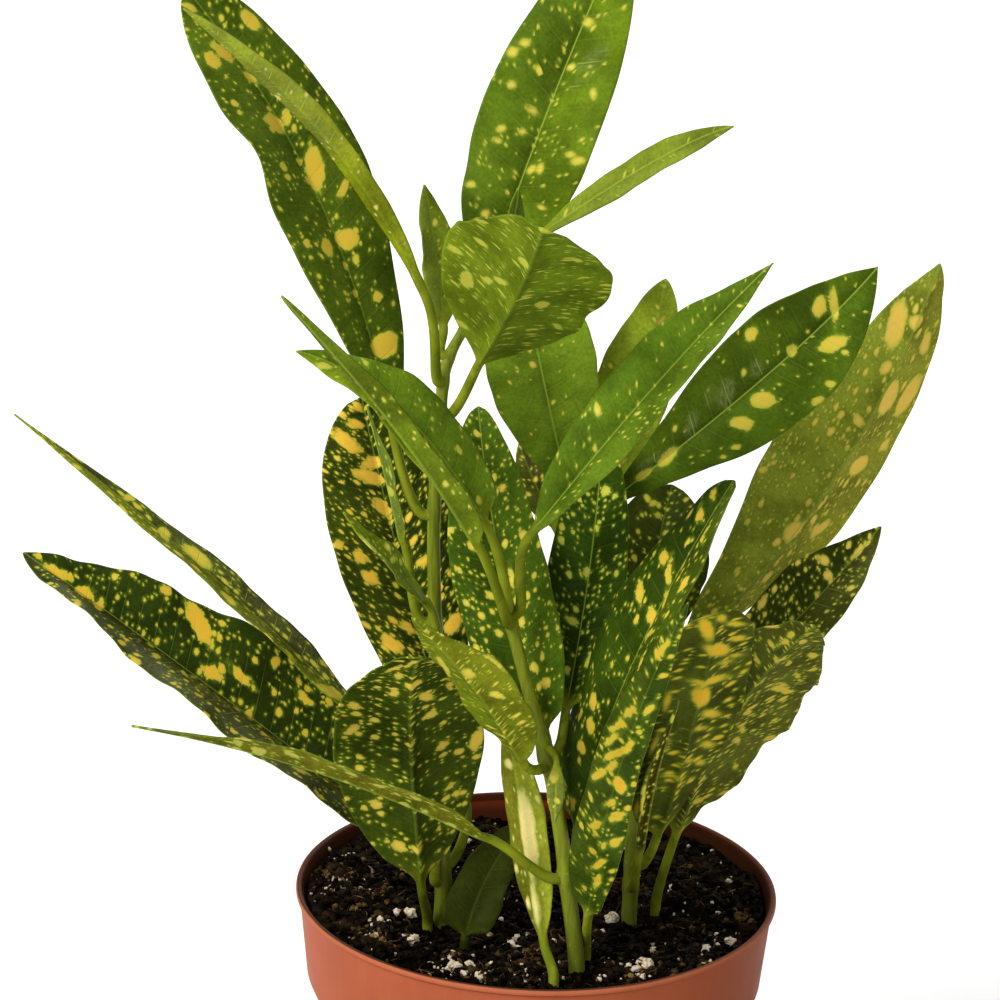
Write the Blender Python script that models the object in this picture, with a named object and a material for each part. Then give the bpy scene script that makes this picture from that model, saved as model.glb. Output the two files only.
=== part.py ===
"""Potted gold dust croton: three leafy stems and their leaves in a soil-filled plastic pot.

Sizes and places are in millimetres and become metres when a mesh is made. X runs to the
right, Y away from the viewer, Z up. The origin is the centre of the pot's underside.
"""
import math
from collections import namedtuple

import bmesh
import bpy
import numpy as np
from mathutils import Matrix, Vector

MM = 0.001

# The pot: a 4-inch growing pot, turned about Z
POT_HEIGHT = 92.0
RIM_RADIUS = 54.0
LIP_THICKNESS = 1.3
LIP_OVERHANG = 0.8
LIP_TOP_WIDTH = 1.2
COLLAR_TOP_RADIUS = RIM_RADIUS - LIP_OVERHANG
COLLAR_BOTTOM_RADIUS = 51.2
COLLAR_HEIGHT = 20.5
SHOULDER_RADIUS = 48.8
SHOULDER_HEIGHT = 5.5
BASE_RADIUS = 38.0
WALL = 1.0
FLOOR = 1.5
EDGE = 0.4
POT_SIDES = 48
SMOOTH_ANGLE = 40

# The soil fills the pot to just under its rim
GAP = 0.3
SOIL_TOP = 86.0
SOIL_LUMP = 1.2
SOIL_RINGS = 8
SOIL_SEED = 7
HOLE_DEPTH = 10.0
HOLE_SIDES = 12
HOLE_REACH = 8.0

# Leaves and stems
BLADE_THICKNESS = 0.8
STALK_RADIUS = 1.0
STALK_TAPER = 0.3
STALK_STEPS = 4
STALK_PULL = 0.38
STALK_START = 4.0
RIB_DEPTH = 1.1
BLADE_STEPS = 10
NARROW_LEAF = 14
STEM_SIDES = 8
STEM_STEPS = 2
STEM_BOTTOM = SOIL_TOP - HOLE_DEPTH
STEM_STRAIGHT = SOIL_TOP + 2.0
NOTCH_SPREAD = 0.07
OTHER_EDGE_SHIFT = 1.3
OPEN_FROM = 1.0
OPEN_OVER = 4.0

# A stem's centre line from its foot in the soil to its top, and its radius at both ends
Stem = namedtuple("Stem", "points foot_radius top_radius")
STEMS = {
    "stem_left": Stem([(-21, -11, STEM_BOTTOM), (-21, -11, STEM_STRAIGHT), (-21, -10, 102),
                       (-23, -9, 130), (-24, -8, 155), (-25, -7, 182), (-24, -6, 208),
                       (-23, -5, 216), (-20, -2, 222), (-14, 2, 231)], 1.9, 1.0),
    "stem_front": Stem([(9, -32, STEM_BOTTOM), (9, -32, STEM_STRAIGHT), (6, -32, 109),
                        (4, -32, 122), (1, -31, 136), (-4, -30, 153), (-9, -29, 171)], 1.9, 1.3),
    "stem_right": Stem([(21, -5, STEM_BOTTOM), (21, -5, STEM_STRAIGHT), (21, -4, 108),
                        (19, 0, 134), (16, 4, 166)], 1.9, 1.4),
}

# A leaf. root: the height on its stem, or the place in the soil, where its stalk starts.
# base, middle, tip: points of the blade's midrib. width: the blade's full width.
# faces: where its upper side looks. fold: how far each half is raised, in degrees.
# wave: how far the margins swing, waves: how often. peak: where along the blade it is
# widest. blunt: below 0.8 the ends are fuller. stalk: stalk thickness against the usual.
# notch: a bite in one margin, as side, place along the blade and depth. look: its colour.
Leaf = namedtuple("Leaf", "name carrier root base middle tip width faces look fold wave waves "
                          "peak blunt stalk notch",
                  defaults=("dark", 15, 0.8, 2, 0.45, 0.85, 1.0, None))

LEFT_LEAVES = [
    Leaf("leaf_top_left", "stem_left", 183, (-35, -6.5, 204), (-52.5, 4, 251), (-80.5, 13.5, 291),
         26, (0.5, -0.8, 0.4), fold=12, peak=0.58, blunt=0.46, notch=(-1, 0.62, 2.6)),
    Leaf("leaf_top_left_narrow", "stem_left", 212, (-27.5, -14, 232.5), (-48, -19.5, 267.5),
         (-78.5, -21.5, 295), 6.5, (0.3, 0.9, 0.3), "olive", fold=22, peak=0.53, blunt=0.72),
    Leaf("leaf_top_small", "stem_left", 217, (-24, -3, 223), (-26, 0, 238), (-29, 3, 253), 10,
         (0.5, -0.8, 0.1), "bright", fold=25),
    Leaf("leaf_top_bright", "stem_left", 230, (-13.5, 6, 235), (-5, 11, 262.5), (11.5, 16, 306),
         27.5, (-0.3, -0.9, 0.2), "bright", fold=12, peak=0.53, blunt=0.45),
    Leaf("leaf_top_cupped", "stem_left", 205, (-16, -14, 219), (-8.5, -42, 242.5), (-4, -66, 263),
         37.5, (0.3, 0.7, 0.7), "olive", fold=19, peak=0.49, blunt=0.66, notch=(-1, 0.4, 2)),
    Leaf("leaf_top_right_narrow", "stem_left", 224, (-4.5, -3, 244), (19, -5.5, 261.5),
         (35.5, -10, 271), 7, (-0.5, -0.7, 0.5), "bright", peak=0.43, blunt=0.86),
    Leaf("leaf_top_young", "stem_left", 231, (-12, 0, 239), (-10, -3, 247), (-9, -5, 255), 5,
         (0.5, -0.7, 0.2), "bright", fold=40, stalk=0.7),
    Leaf("leaf_left_tall_dark", "stem_left", 101, (-16.5, -2, 113.5), (-31, 9, 159.5),
         (-42, 16, 201), 30, (0.2, -0.9, 0.3), peak=0.67, blunt=0.48),
    Leaf("leaf_left_long", "stem_left", 97, (-23.5, -12.5, 104), (-70, -9.5, 139),
         (-114.5, -3, 169), 33, (0.5, -0.5, 0.7), fold=30, wave=1.1, waves=4, peak=0.44,
         blunt=0.66),
    Leaf("leaf_left_folded", "stem_left", 126, (-37.5, -13, 134), (-72, -14, 168.5),
         (-114.5, -16, 205), 8, (0.6, -0.6, 0.6), fold=36, waves=4, peak=0.37, blunt=1.1),
    Leaf("leaf_left_small", "stem_left", 145, (-26, -15, 165), (-34, -19, 175), (-44, -21, 187), 9,
         (0.5, -0.2, 0.8), "bright"),
    Leaf("leaf_left_slim", "stem_left", 157, (-31, -7, 175), (-35, -6, 190), (-40, -3, 205), 7,
         (0.9, 0.3, 0.2), "olive"),
]
FRONT_LEAVES = [
    Leaf("leaf_middle_folded", "stem_front", 166, (-15, -40, 187), (-32.5, -47, 215),
         (-56, -52, 243.5), 8, (0.5, 0.7, 0.5), "bright", fold=40, peak=0.3, blunt=0.56),
    Leaf("leaf_middle_broad", "stem_front", 170, (-13.5, -29.5, 188), (-32.5, -29.5, 213),
         (-54, -31, 225.5), 17.5, (0.6, -0.6, 0.6), "bright", peak=0.31),
    Leaf("leaf_middle_bright", "stem_front", 168, (-4.5, -32, 186.5), (21.5, -33, 222),
         (43.5, -36, 249), 18, (-0.6, -0.7, 0.4), "bright", fold=25, peak=0.42, blunt=1.1),
    Leaf("leaf_low_left_narrow", "stem_front", 109, (-10, -39, 120), (-47, -47, 138.5),
         (-86, -54, 150), 16, (0.3, 0.4, 0.8), "olive", wave=0.5),
    Leaf("leaf_front_olive", "stem_front", 135, (-4, -38.5, 138), (-14, -51, 159),
         (-28, -63, 179.5), 17, (0.4, 0.9, 0.5), "olive"),
    Leaf("leaf_front_tall", "stem_front", 109, (8.5, -28.5, 118), (19.5, -32.5, 158),
         (38.5, -26, 198.5), 23, (-0.9, -0.3, 0.3), fold=20, peak=0.42, blunt=0.45),
    Leaf("leaf_centre_dark", "stem_front", 136, (5, -23.5, 147), (9, -12, 172.5),
         (11, -6, 201.5), 18, (-0.2, -0.95, 0.2), blunt=0.7),
    Leaf("leaf_centre_left", "stem_front", 139, (0, -26, 143), (-10, -18, 175), (-16, -10, 208),
         22, (-0.2, -0.95, 0.2)),
    Leaf("leaf_front_tiny", "stem_front", 139, (3, -36, 137), (3, -38, 131), (3, -40, 125), 4,
         (0, -0.8, 0.2), "yellow", stalk=0.7),
]
RIGHT_LEAVES = [
    Leaf("leaf_back_olive", "stem_right", 163, (12, 12, 182), (19, 16, 207), (24, 20, 229), 18,
         (-0.2, 0.9, 0.2), "bright", blunt=0.7),
    Leaf("leaf_back_bright", "stem_right", 158, (4, 8, 184), (-3, 6, 213), (-8, 8, 236), 25,
         (0.1, -1, 0.1), "bright", peak=0.52, blunt=0.7),
    Leaf("leaf_right_glossy", "stem_right", 164, (9.5, 0, 181), (45.5, -2.5, 214.5),
         (67.5, -8, 241), 25, (-0.2, -1, 0), waves=3, peak=0.54, blunt=1.01),
    Leaf("leaf_right_olive", "stem_right", 133, (28.5, 2.5, 147.5), (61.5, 13, 185), (83, 14, 236),
         31.5, (-0.4, 0.9, 0.1), "olive", fold=22, peak=0.56, blunt=0.92),
    Leaf("leaf_right_dark", "stem_right", 122, (38, 1, 138), (57, 4, 158), (73, 6, 178), 20,
         (-0.4, -0.7, 0.6)),
    Leaf("leaf_back_small", "stem_right", 152, (2, 18, 171), (-3, 22, 180), (-7, 26, 188), 8,
         (0.1, -1, 0.1)),
    Leaf("leaf_back_shaded", "stem_right", 130, (23, 13.5, 147), (24.5, 17, 165.5),
         (27.5, 21.5, 181), 22, (0, -1, 0.2), fold=5, peak=0.48, blunt=0.69),
    Leaf("leaf_low_right_broad", "stem_right", 100, (26, -14, 111), (32, -34, 149), (35, -46, 176),
         29, (-0.5, 0.75, 0.4), "olive", fold=8, peak=0.5, blunt=0.55),
    Leaf("leaf_low_right_slim", "stem_right", 95, (22, -17, 108), (24, -34, 134), (28, -45, 156),
         6, (-0.9, 0.4, 0.2), "yellow", fold=35),
]
SOIL_LEAVES = [
    Leaf("leaf_low_left_broad", "soil", (-24, -14), (-25.5, -21.5, 101), (-28.5, -38, 147),
         (-26, -52, 166.5), 33, (-0.2, 0.8, 0.6), "olive", fold=10, peak=0.38, blunt=0.93),
    Leaf("leaf_front_yellow", "soil", (4, -40), (0, -33, 100), (-3, -30, 119), (-6, -28, 138), 9,
         (0.3, 0.9, 0.1), "yellow"),
    Leaf("leaf_low_back", "soil", (-15.5, -22.5), (-15.5, -22, 89.5), (-11.5, -16, 100),
         (-4.5, -9.5, 110), 12.5, (-0.3, -0.9, 0.2), peak=0.33, blunt=0.45),
    Leaf("leaf_front_spotted", "soil", (11, -28), (11, -34, 100), (16.5, -47, 142),
         (28.5, -56, 182), 12.5, (-0.6, -0.8, -0.1), "bright", peak=0.3, blunt=1.1),
    Leaf("leaf_low_right_wavy", "soil", (27, -1), (30.5, -4.5, 107), (41.5, -14.5, 141),
         (57, -27.5, 167), 36.5, (-0.2, 0.9, 0.4), "olive", fold=16, wave=1.4, waves=4, peak=0.53,
         blunt=0.75),
]
LEAVES = LEFT_LEAVES + FRONT_LEAVES + RIGHT_LEAVES + SOIL_LEAVES

# Colours, as red, green and blue in linear light, with a roughness
PLASTIC_COLOUR = ((0.52, 0.15, 0.07), 0.45)
SOIL_COLOUR = ((0.03, 0.018, 0.012), 0.95)
STEM_COLOUR = ((0.28, 0.40, 0.05), 0.5)
LEAF_COLOURS = {
    "dark": ((0.03, 0.10, 0.02), 0.35),
    "bright": ((0.12, 0.28, 0.03), 0.35),
    "olive": ((0.20, 0.22, 0.04), 0.5),
    "yellow": ((0.55, 0.50, 0.12), 0.5),
}


def unit(vector):
    vector = np.asarray(vector, float)
    return vector / np.linalg.norm(vector)


def across(vector, along):
    """The part of a vector at right angles to a direction, as a unit vector."""
    return unit(vector - np.dot(vector, along) * along)


def smooth_path(points, steps):
    """Points on a smooth curve through the given ones, with some steps in each stretch."""
    given = np.asarray(points, float)
    ends = np.vstack([2 * given[0] - given[1], given, 2 * given[-1] - given[-2]])
    path = []
    for a, b, c, d in zip(ends, ends[1:], ends[2:], ends[3:]):
        for t in np.arange(steps) / steps:
            path.append(0.5 * (2 * b + (c - a) * t + (2 * a - 5 * b + 4 * c - d) * t ** 2
                               + (3 * b - a - 3 * c + d) * t ** 3))
    path.append(given[-1])
    return np.array(path)


def stem_rings(stem):
    """The rings of points round a stem, from its foot to its top."""
    path = smooth_path(stem.points, STEM_STEPS)
    along = np.array([unit(v) for v in np.gradient(path, axis=0)])
    radii = np.linspace(stem.foot_radius, stem.top_radius, len(path))
    angles = 2 * math.pi * (np.arange(STEM_SIDES) + 0.5) / STEM_SIDES
    side = np.array([1.0, 0.0, 0.0])
    rings = []
    for point, direction, radius in zip(path, along, radii):
        side = across(side, direction)
        other = np.cross(direction, side)
        rings.append([point + radius * (math.cos(a) * side + math.sin(a) * other) for a in angles])
    return np.array(rings)


def stem_at(stem, height):
    """A stem's centre, direction and radius at a height."""
    path = smooth_path(stem.points, 6 * STEM_STEPS)
    i = int(np.argmin(abs(path[:, 2] - height)))
    direction = unit(path[min(i + 1, len(path) - 1)] - path[i - 1])
    radius = np.interp(i, [0, len(path) - 1], [stem.foot_radius, stem.top_radius])
    return path[i], direction, radius


def stalk_path(leaf, base, blade_start):
    """Centre points and directions of a leaf's stalk, up to but without the blade's base."""
    lower = []
    if leaf.carrier == "soil":
        start = np.array([*leaf.root, STEM_STRAIGHT])
        out = np.array([0.0, 0.0, 1.0])
        lower = [(np.array([*leaf.root, STEM_BOTTOM]), out)]
    else:
        centre, direction, radius = stem_at(STEMS[leaf.carrier], leaf.root)
        out = across(base - centre, direction)
        start = centre + out * (radius + GAP)
    reach = STALK_PULL * np.linalg.norm(base - start)
    first = start + out * min(reach, STALK_START)
    second = base - blade_start * reach
    points = list(lower)
    for t in np.arange(STALK_STEPS) / STALK_STEPS:
        point = ((1 - t) ** 3 * start + 3 * t * (1 - t) ** 2 * first
                 + 3 * t ** 2 * (1 - t) * second + t ** 3 * base)
        direction = ((1 - t) ** 2 * (first - start) + 2 * t * (1 - t) * (second - first)
                     + t ** 2 * (base - second))
        points.append((point, unit(direction)))
    return points


def blade_path(leaf, steps):
    """Centre points and directions along the midrib, a smooth arc through its three points."""
    base, middle, tip = (np.array(p, float) for p in (leaf.base, leaf.middle, leaf.tip))
    bend = 2 * middle - (base + tip) / 2
    points = []
    for s in np.linspace(0, 1, steps + 1):
        point = (1 - s) ** 2 * base + 2 * s * (1 - s) * bend + s ** 2 * tip
        points.append((point, unit((1 - s) * (bend - base) + s * (tip - bend))))
    return points


def leaf_faces(points, faces, middle):
    """The upper side's direction at each point, carried along without a twist."""
    ups = [None] * len(points)
    ups[middle] = across(np.array(faces), points[middle][1])
    for i in range(middle + 1, len(points)):
        ups[i] = across(ups[i - 1], points[i][1])
    for i in range(middle - 1, -1, -1):
        ups[i] = across(ups[i + 1], points[i][1])
    return ups


def blade_section(leaf, s, lanes):
    """Offsets sideways and upwards of the upper and lower face at s along the blade.

    The blade folds and waves more the further it opens from the stalk's width.
    """
    swell = math.sin(math.pi * s ** (math.log(0.5) / math.log(leaf.peak)))
    slim = STALK_RADIUS * leaf.stalk * (1 - STALK_TAPER * s)
    half = max(leaf.width / 2 * max(swell, 0.0) ** leaf.blunt, slim)
    opened = min(1.0, max(0.0, (half - OPEN_FROM) / OPEN_OVER))
    fold = math.radians(leaf.fold) * opened
    swing = np.sin(2 * math.pi * leaf.waves * s + np.where(lanes > 0, OTHER_EDGE_SHIFT, 0.0))
    lift = half * abs(lanes) * math.sin(fold) + leaf.wave * opened * lanes ** 2 * swing
    edge = half * lanes
    if leaf.notch:
        side, place, depth = leaf.notch
        bite = depth * math.exp(-((s - place) / NOTCH_SPREAD) ** 2)
        edge = edge - lanes * (np.sign(lanes) == side) * bite
    sideways = edge * math.cos(fold)
    half_thickness = BLADE_THICKNESS / 2 / math.cos(fold)
    rib = STALK_RADIUS * RIB_DEPTH * (1 - s) * (lanes == 0)
    upper = np.stack([sideways, lift + half_thickness], -1)
    lower = np.stack([sideways, lift - half_thickness - rib], -1)
    return np.vstack([upper, lower[::-1]])


def stalk_section(leaf, lanes):
    """The stalk's round outline, with the same number of points as the blade's."""
    angles = math.pi * (1 - (np.arange(len(lanes)) + 0.5) / len(lanes))
    radius = STALK_RADIUS * leaf.stalk
    upper = radius * np.stack([np.cos(angles), np.sin(angles)], -1)
    return np.vstack([upper, (upper * (1, -1))[::-1]])


def leaf_rings(leaf):
    """The rings of points round a leaf, from the foot of its stalk to its tip."""
    lane_count = 3 if leaf.width <= NARROW_LEAF else 5
    lanes = np.linspace(-1, 1, lane_count)
    steps = BLADE_STEPS + 2 * max(0, leaf.waves - 2)
    blade = blade_path(leaf, steps)
    stalk = stalk_path(leaf, blade[0][0], blade[0][1])
    points = stalk + blade
    ups = leaf_faces(points, leaf.faces, len(stalk) + steps // 2)
    rings = []
    for i, ((centre, along), up) in enumerate(zip(points, ups)):
        side = np.cross(along, up)
        if i < len(stalk):
            section = stalk_section(leaf, lanes)
        else:
            section = blade_section(leaf, (i - len(stalk)) / steps, lanes)
        rings.append(centre + section[:, :1] * side + section[:, 1:] * up)
    return np.array(rings)


def skin(rings):
    """Triangles of a closed skin over the rings. A blade is split alike on both faces."""
    count, size = rings.shape[:2]
    half = size // 2
    triangles = []
    for i in range(count - 1):
        for j in range(size):
            a = i * size + j
            b = i * size + (j + 1) % size
            c, d = a + size, b + size
            upper = j < half
            lane = j if upper else size - 2 - j
            if (lane < (half - 1) / 2) == upper:
                triangles += [(a, b, d), (a, d, c)]
            else:
                triangles += [(a, b, c), (b, d, c)]
    last = (count - 1) * size
    for j in range(half - 1):
        for start, turn in ((0, -1), (last, 1)):
            a, b = start + j, start + j + 1
            c, d = start + size - 1 - j, start + size - 2 - j
            triangles += [(a, b, d)[::turn], (a, d, c)[::turn]]
    return triangles


def add_object(name, points, faces, colour):
    """An object from points in millimetres, with its own material and its faces pointing out."""
    mesh = bpy.data.meshes.new(name)
    mesh.from_pydata([Vector(p) * MM for p in points], [], faces)
    part = bmesh.new()
    part.from_mesh(mesh)
    bmesh.ops.recalc_face_normals(part, faces=part.faces)
    part.to_mesh(mesh)
    part.free()
    mesh.shade_smooth()
    mesh.set_sharp_from_angle(angle=math.radians(SMOOTH_ANGLE))
    obj = bpy.data.objects.new(name, mesh)
    bpy.context.scene.collection.objects.link(obj)
    paint(obj, colour)
    return obj


def paint(obj, colour):
    """Gives an object its own Principled material."""
    (red, green, blue), roughness = colour
    material = bpy.data.materials.new(obj.name)
    material.use_nodes = True
    shader = material.node_tree.nodes["Principled BSDF"]
    shader.inputs["Base Color"].default_value = (red, green, blue, 1.0)
    shader.inputs["Roughness"].default_value = roughness
    shader.inputs["Metallic"].default_value = 0.0
    obj.data.materials.append(material)


def turned(profile, sides):
    """Points and faces of an outline turned about Z. Its two ends lie on the axis."""
    inner = profile[1:-1]
    points = [(0.0, 0.0, profile[0][1])]
    for k in range(sides):
        angle = 2 * math.pi * k / sides
        points += [(r * math.cos(angle), r * math.sin(angle), z) for r, z in inner]
    points.append((0.0, 0.0, profile[-1][1]))
    faces = []
    size = len(inner)
    for k in range(sides):
        here = 1 + k * size
        there = 1 + (k + 1) % sides * size
        faces.append((0, here, there))
        faces += [(here + i, here + i + 1, there + i + 1, there + i) for i in range(size - 1)]
        faces.append((len(points) - 1, there + size - 1, here + size - 1))
    return points, faces


def collar_bottom():
    return POT_HEIGHT - COLLAR_HEIGHT


def body_top():
    return collar_bottom() - SHOULDER_HEIGHT


def outer_profile():
    """The pot's outside from the edge of its underside up to its rim."""
    lip = POT_HEIGHT - LIP_THICKNESS
    return [(BASE_RADIUS - EDGE, 0.0), (BASE_RADIUS, EDGE), (SHOULDER_RADIUS, body_top()),
            (COLLAR_BOTTOM_RADIUS, collar_bottom()), (COLLAR_TOP_RADIUS, lip), (RIM_RADIUS, lip),
            (RIM_RADIUS, POT_HEIGHT - EDGE), (RIM_RADIUS - EDGE, POT_HEIGHT)]


def inner_profile():
    """The pot's inside from its rim down to its floor."""
    return [(RIM_RADIUS - LIP_TOP_WIDTH, POT_HEIGHT),
            (COLLAR_TOP_RADIUS - WALL, POT_HEIGHT - LIP_THICKNESS),
            (COLLAR_BOTTOM_RADIUS - WALL, collar_bottom()),
            (SHOULDER_RADIUS - WALL, body_top()), (BASE_RADIUS - WALL, FLOOR)]


def inside_radius(height):
    """The radius of the pot's inside at a height."""
    radii, heights = zip(*inner_profile()[::-1])
    return float(np.interp(height, heights, radii))


def add_pot():
    """The pot, with a plain closed floor."""
    profile = [(0.0, 0.0)] + outer_profile() + inner_profile() + [(0.0, FLOOR)]
    add_object("pot", *turned(profile, POT_SIDES), PLASTIC_COLOUR)


def soil_top(radius):
    """Points and triangles of the soil's uneven top, as rings with 6, 12, 18 and more points."""
    draw = np.random.default_rng(SOIL_SEED)
    points = [(0.0, 0.0, SOIL_TOP)]
    faces = []
    for k in range(SOIL_RINGS):
        inner, outer = ring_start(k), ring_start(k + 1)
        inner_count, outer_count = max(1, 6 * k), 6 * (k + 1)
        for angle in 2 * math.pi * np.arange(outer_count) / outer_count:
            reach = radius * (k + 1) / SOIL_RINGS
            height = SOIL_TOP + SOIL_LUMP * draw.uniform(-1, 1)
            points.append((reach * math.cos(angle), reach * math.sin(angle), height))
        for sector in range(6):
            for i in range(k + 1):
                a = inner + (sector * k + i) % inner_count
                b = outer + sector * (k + 1) + i
                c = outer + (sector * (k + 1) + i + 1) % outer_count
                faces.append((a, b, c))
                if i < k:
                    faces.append((a, c, inner + (sector * k + i + 1) % inner_count))
    return points, faces


def ring_start(k):
    """The number of points inside ring k of the soil's top."""
    return 0 if k == 0 else 1 + 3 * k * (k - 1)


def add_soil():
    """The soil: a plug with an uneven top, clear of the pot all round."""
    points, faces = soil_top(inside_radius(SOIL_TOP) - GAP)
    rim = ring_start(SOIL_RINGS)
    angles = 2 * math.pi * np.arange(POT_SIDES) / POT_SIDES
    for z in (collar_bottom(), body_top(), FLOOR + GAP):
        radius = inside_radius(z) - GAP
        low = len(points)
        points += [(radius * math.cos(a), radius * math.sin(a), z) for a in angles]
        for k in range(POT_SIDES):
            nxt = (k + 1) % POT_SIDES
            faces.append((rim + k, low + k, low + nxt, rim + nxt))
        rim = low
    faces.append([rim + k for k in reversed(range(POT_SIDES))])
    soil = add_object("soil", points, faces, SOIL_COLOUR)
    holes = bpy.data.collections.new("stem_holes")
    bpy.context.scene.collection.children.link(holes)
    for name, stem in STEMS.items():
        add_hole_cutter(name, stem.points[0], stem.foot_radius, holes)
    for leaf in SOIL_LEAVES:
        add_hole_cutter(leaf.name, leaf.root, STALK_RADIUS * leaf.stalk, holes)
    cut = soil.modifiers.new("holes", 'BOOLEAN')
    cut.operation = 'DIFFERENCE'
    cut.operand_type = 'COLLECTION'
    cut.collection = holes
    cut.solver = 'EXACT'


def add_hole_cutter(name, place, radius, collection):
    """A round cutter for the plain hole in the soil round a stem's or a stalk's foot."""
    hole_radius = (radius + GAP) / math.cos(math.pi / HOLE_SIDES)
    low, high = STEM_BOTTOM - GAP, SOIL_TOP + HOLE_REACH
    middle = Matrix.Translation(Vector((place[0], place[1], (low + high) / 2)) * MM)
    cutter = bmesh.new()
    bmesh.ops.create_cone(cutter, cap_ends=True, segments=HOLE_SIDES, radius1=hole_radius * MM,
                          radius2=hole_radius * MM, depth=(high - low) * MM, matrix=middle)
    mesh = bpy.data.meshes.new(f"hole_{name}")
    cutter.to_mesh(mesh)
    cutter.free()
    obj = bpy.data.objects.new(mesh.name, mesh)
    obj.hide_render = True
    obj.display_type = 'WIRE'
    collection.objects.link(obj)


def build():
    for obj in list(bpy.data.objects):
        bpy.data.objects.remove(obj)
    add_pot()
    add_soil()
    for name, stem in STEMS.items():
        rings = stem_rings(stem)
        add_object(name, rings.reshape(-1, 3), skin(rings), STEM_COLOUR)
    for leaf in LEAVES:
        rings = leaf_rings(leaf)
        add_object(leaf.name, rings.reshape(-1, 3), skin(rings), LEAF_COLOURS[leaf.look])


build()
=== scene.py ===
"""The looks of the potted gold dust croton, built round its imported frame.

Sizes and places are in millimetres and become metres when a mesh is made. X runs to the
right, Y away from the camera, Z up. The origin is the centre of the pot's underside.
Colours are in linear light.
"""
import math
from collections import namedtuple

import bpy
import numpy as np
from mathutils import Matrix, Vector


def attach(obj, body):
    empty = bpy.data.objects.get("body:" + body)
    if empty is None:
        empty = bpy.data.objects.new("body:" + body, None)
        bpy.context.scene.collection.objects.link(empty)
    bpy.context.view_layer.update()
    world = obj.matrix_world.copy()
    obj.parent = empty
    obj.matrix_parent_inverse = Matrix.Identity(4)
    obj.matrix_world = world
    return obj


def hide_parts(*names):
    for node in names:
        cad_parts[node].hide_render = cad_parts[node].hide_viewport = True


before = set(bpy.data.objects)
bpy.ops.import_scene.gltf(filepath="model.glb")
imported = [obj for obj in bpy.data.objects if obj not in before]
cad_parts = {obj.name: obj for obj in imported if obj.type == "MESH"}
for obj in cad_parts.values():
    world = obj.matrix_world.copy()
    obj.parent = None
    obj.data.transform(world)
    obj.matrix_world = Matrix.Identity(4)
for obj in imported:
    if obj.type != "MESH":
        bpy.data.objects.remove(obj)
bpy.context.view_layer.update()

MM = 0.001
TURN = 2 * math.pi

# The camera, level from side to side but for a slight roll
CAMERA_PLACE = (-10.8, -850.5, 477.8)
CAMERA_DOWN = 19.085
CAMERA_ROLL = 1.76
SENSOR = 36.0
LENS = 4.1324 * SENSOR

# The stage: half the floor's width in metres, and how bright the sky is
FLOOR_HALF_WIDTH = 6.0
SKY_STRENGTH = 0.5

# The pot and its soil
POT_HEIGHT = 92.0
RIM_RADIUS = 54.0
LIP_THICKNESS = 1.3
LIP_OVERHANG = 0.8
LIP_TOP_WIDTH = 1.2
COLLAR_TOP_RADIUS = RIM_RADIUS - LIP_OVERHANG
COLLAR_BOTTOM_RADIUS = 51.2
COLLAR = POT_HEIGHT - 20.5
SHOULDER_RADIUS = 48.8
SHOULDER = COLLAR - 5.5
BASE_RADIUS = 38.0
WALL = 1.0
FLOOR = 1.5
CORNER_ROUNDING = 0.55
POT_SIDES = 144
SOIL_TOP = 86.0
SOIL_BANK = 4.0
RIGHT_BANK = 0.7 * SOIL_BANK
SOIL_GAP = 0.3
SOIL_RINGS = 60
SOIL_SIDES = 180
GRIT = 0.22
FOOT_CLEARANCE = 2.0

# The larger pale grains on the soil: place and size
PALE_GRAINS = [
    (-31, -11.3, 1.27), (-28, -9.5, 1.7), (-27, -23.2, 1.36), (-34, -19.2, 0.77), (3, 2, 1.02),
    (-4, -17, 1.19), (-2, -15, 1.02), (-5, -21, 1.19), (17, -5, 1.55), (31, 10, 1.1),
    (35, 3, 0.94), (43, -14, 1.36), (38, -20, 1.27), (26, -18, 1.27), (4, -19, 1.02),
    (44, 11, 1.02), (24, -29, 1.53), (-18, -32.9, 1.44), (-12, -37.1, 1.36), (-23, -37, 1.02),
    (-29, -21.8, 0.85), (22, -31, 1.1), (-14, -28.2, 0.85), (-40, -9.7, 0.85), (-46, 3.5, 0.68),
    (14, -35, 0.77), (-19, -34.5, 0.9), (-16.5, -33, 1), (-14.3, -31, 1.1), (-12.5, -35, 0.9),
    (-18, -31.5, 0.8), (-15.5, -36, 0.9), (-5.4, -20, 1.2), (-3.5, -21.5, 1), (-1.9, -15.7, 0.9),
    (-10.2, -12.1, 0.8), (-13.3, -11.8, 0.7), (4.7, -34.6, 1), (-26.6, -21.1, 1),
    (-34.5, -15.4, 0.8), (-35, -26.3, 0.8), (-47.7, 21, 0.7), (-43.2, 0, 0.8),
]

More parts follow.
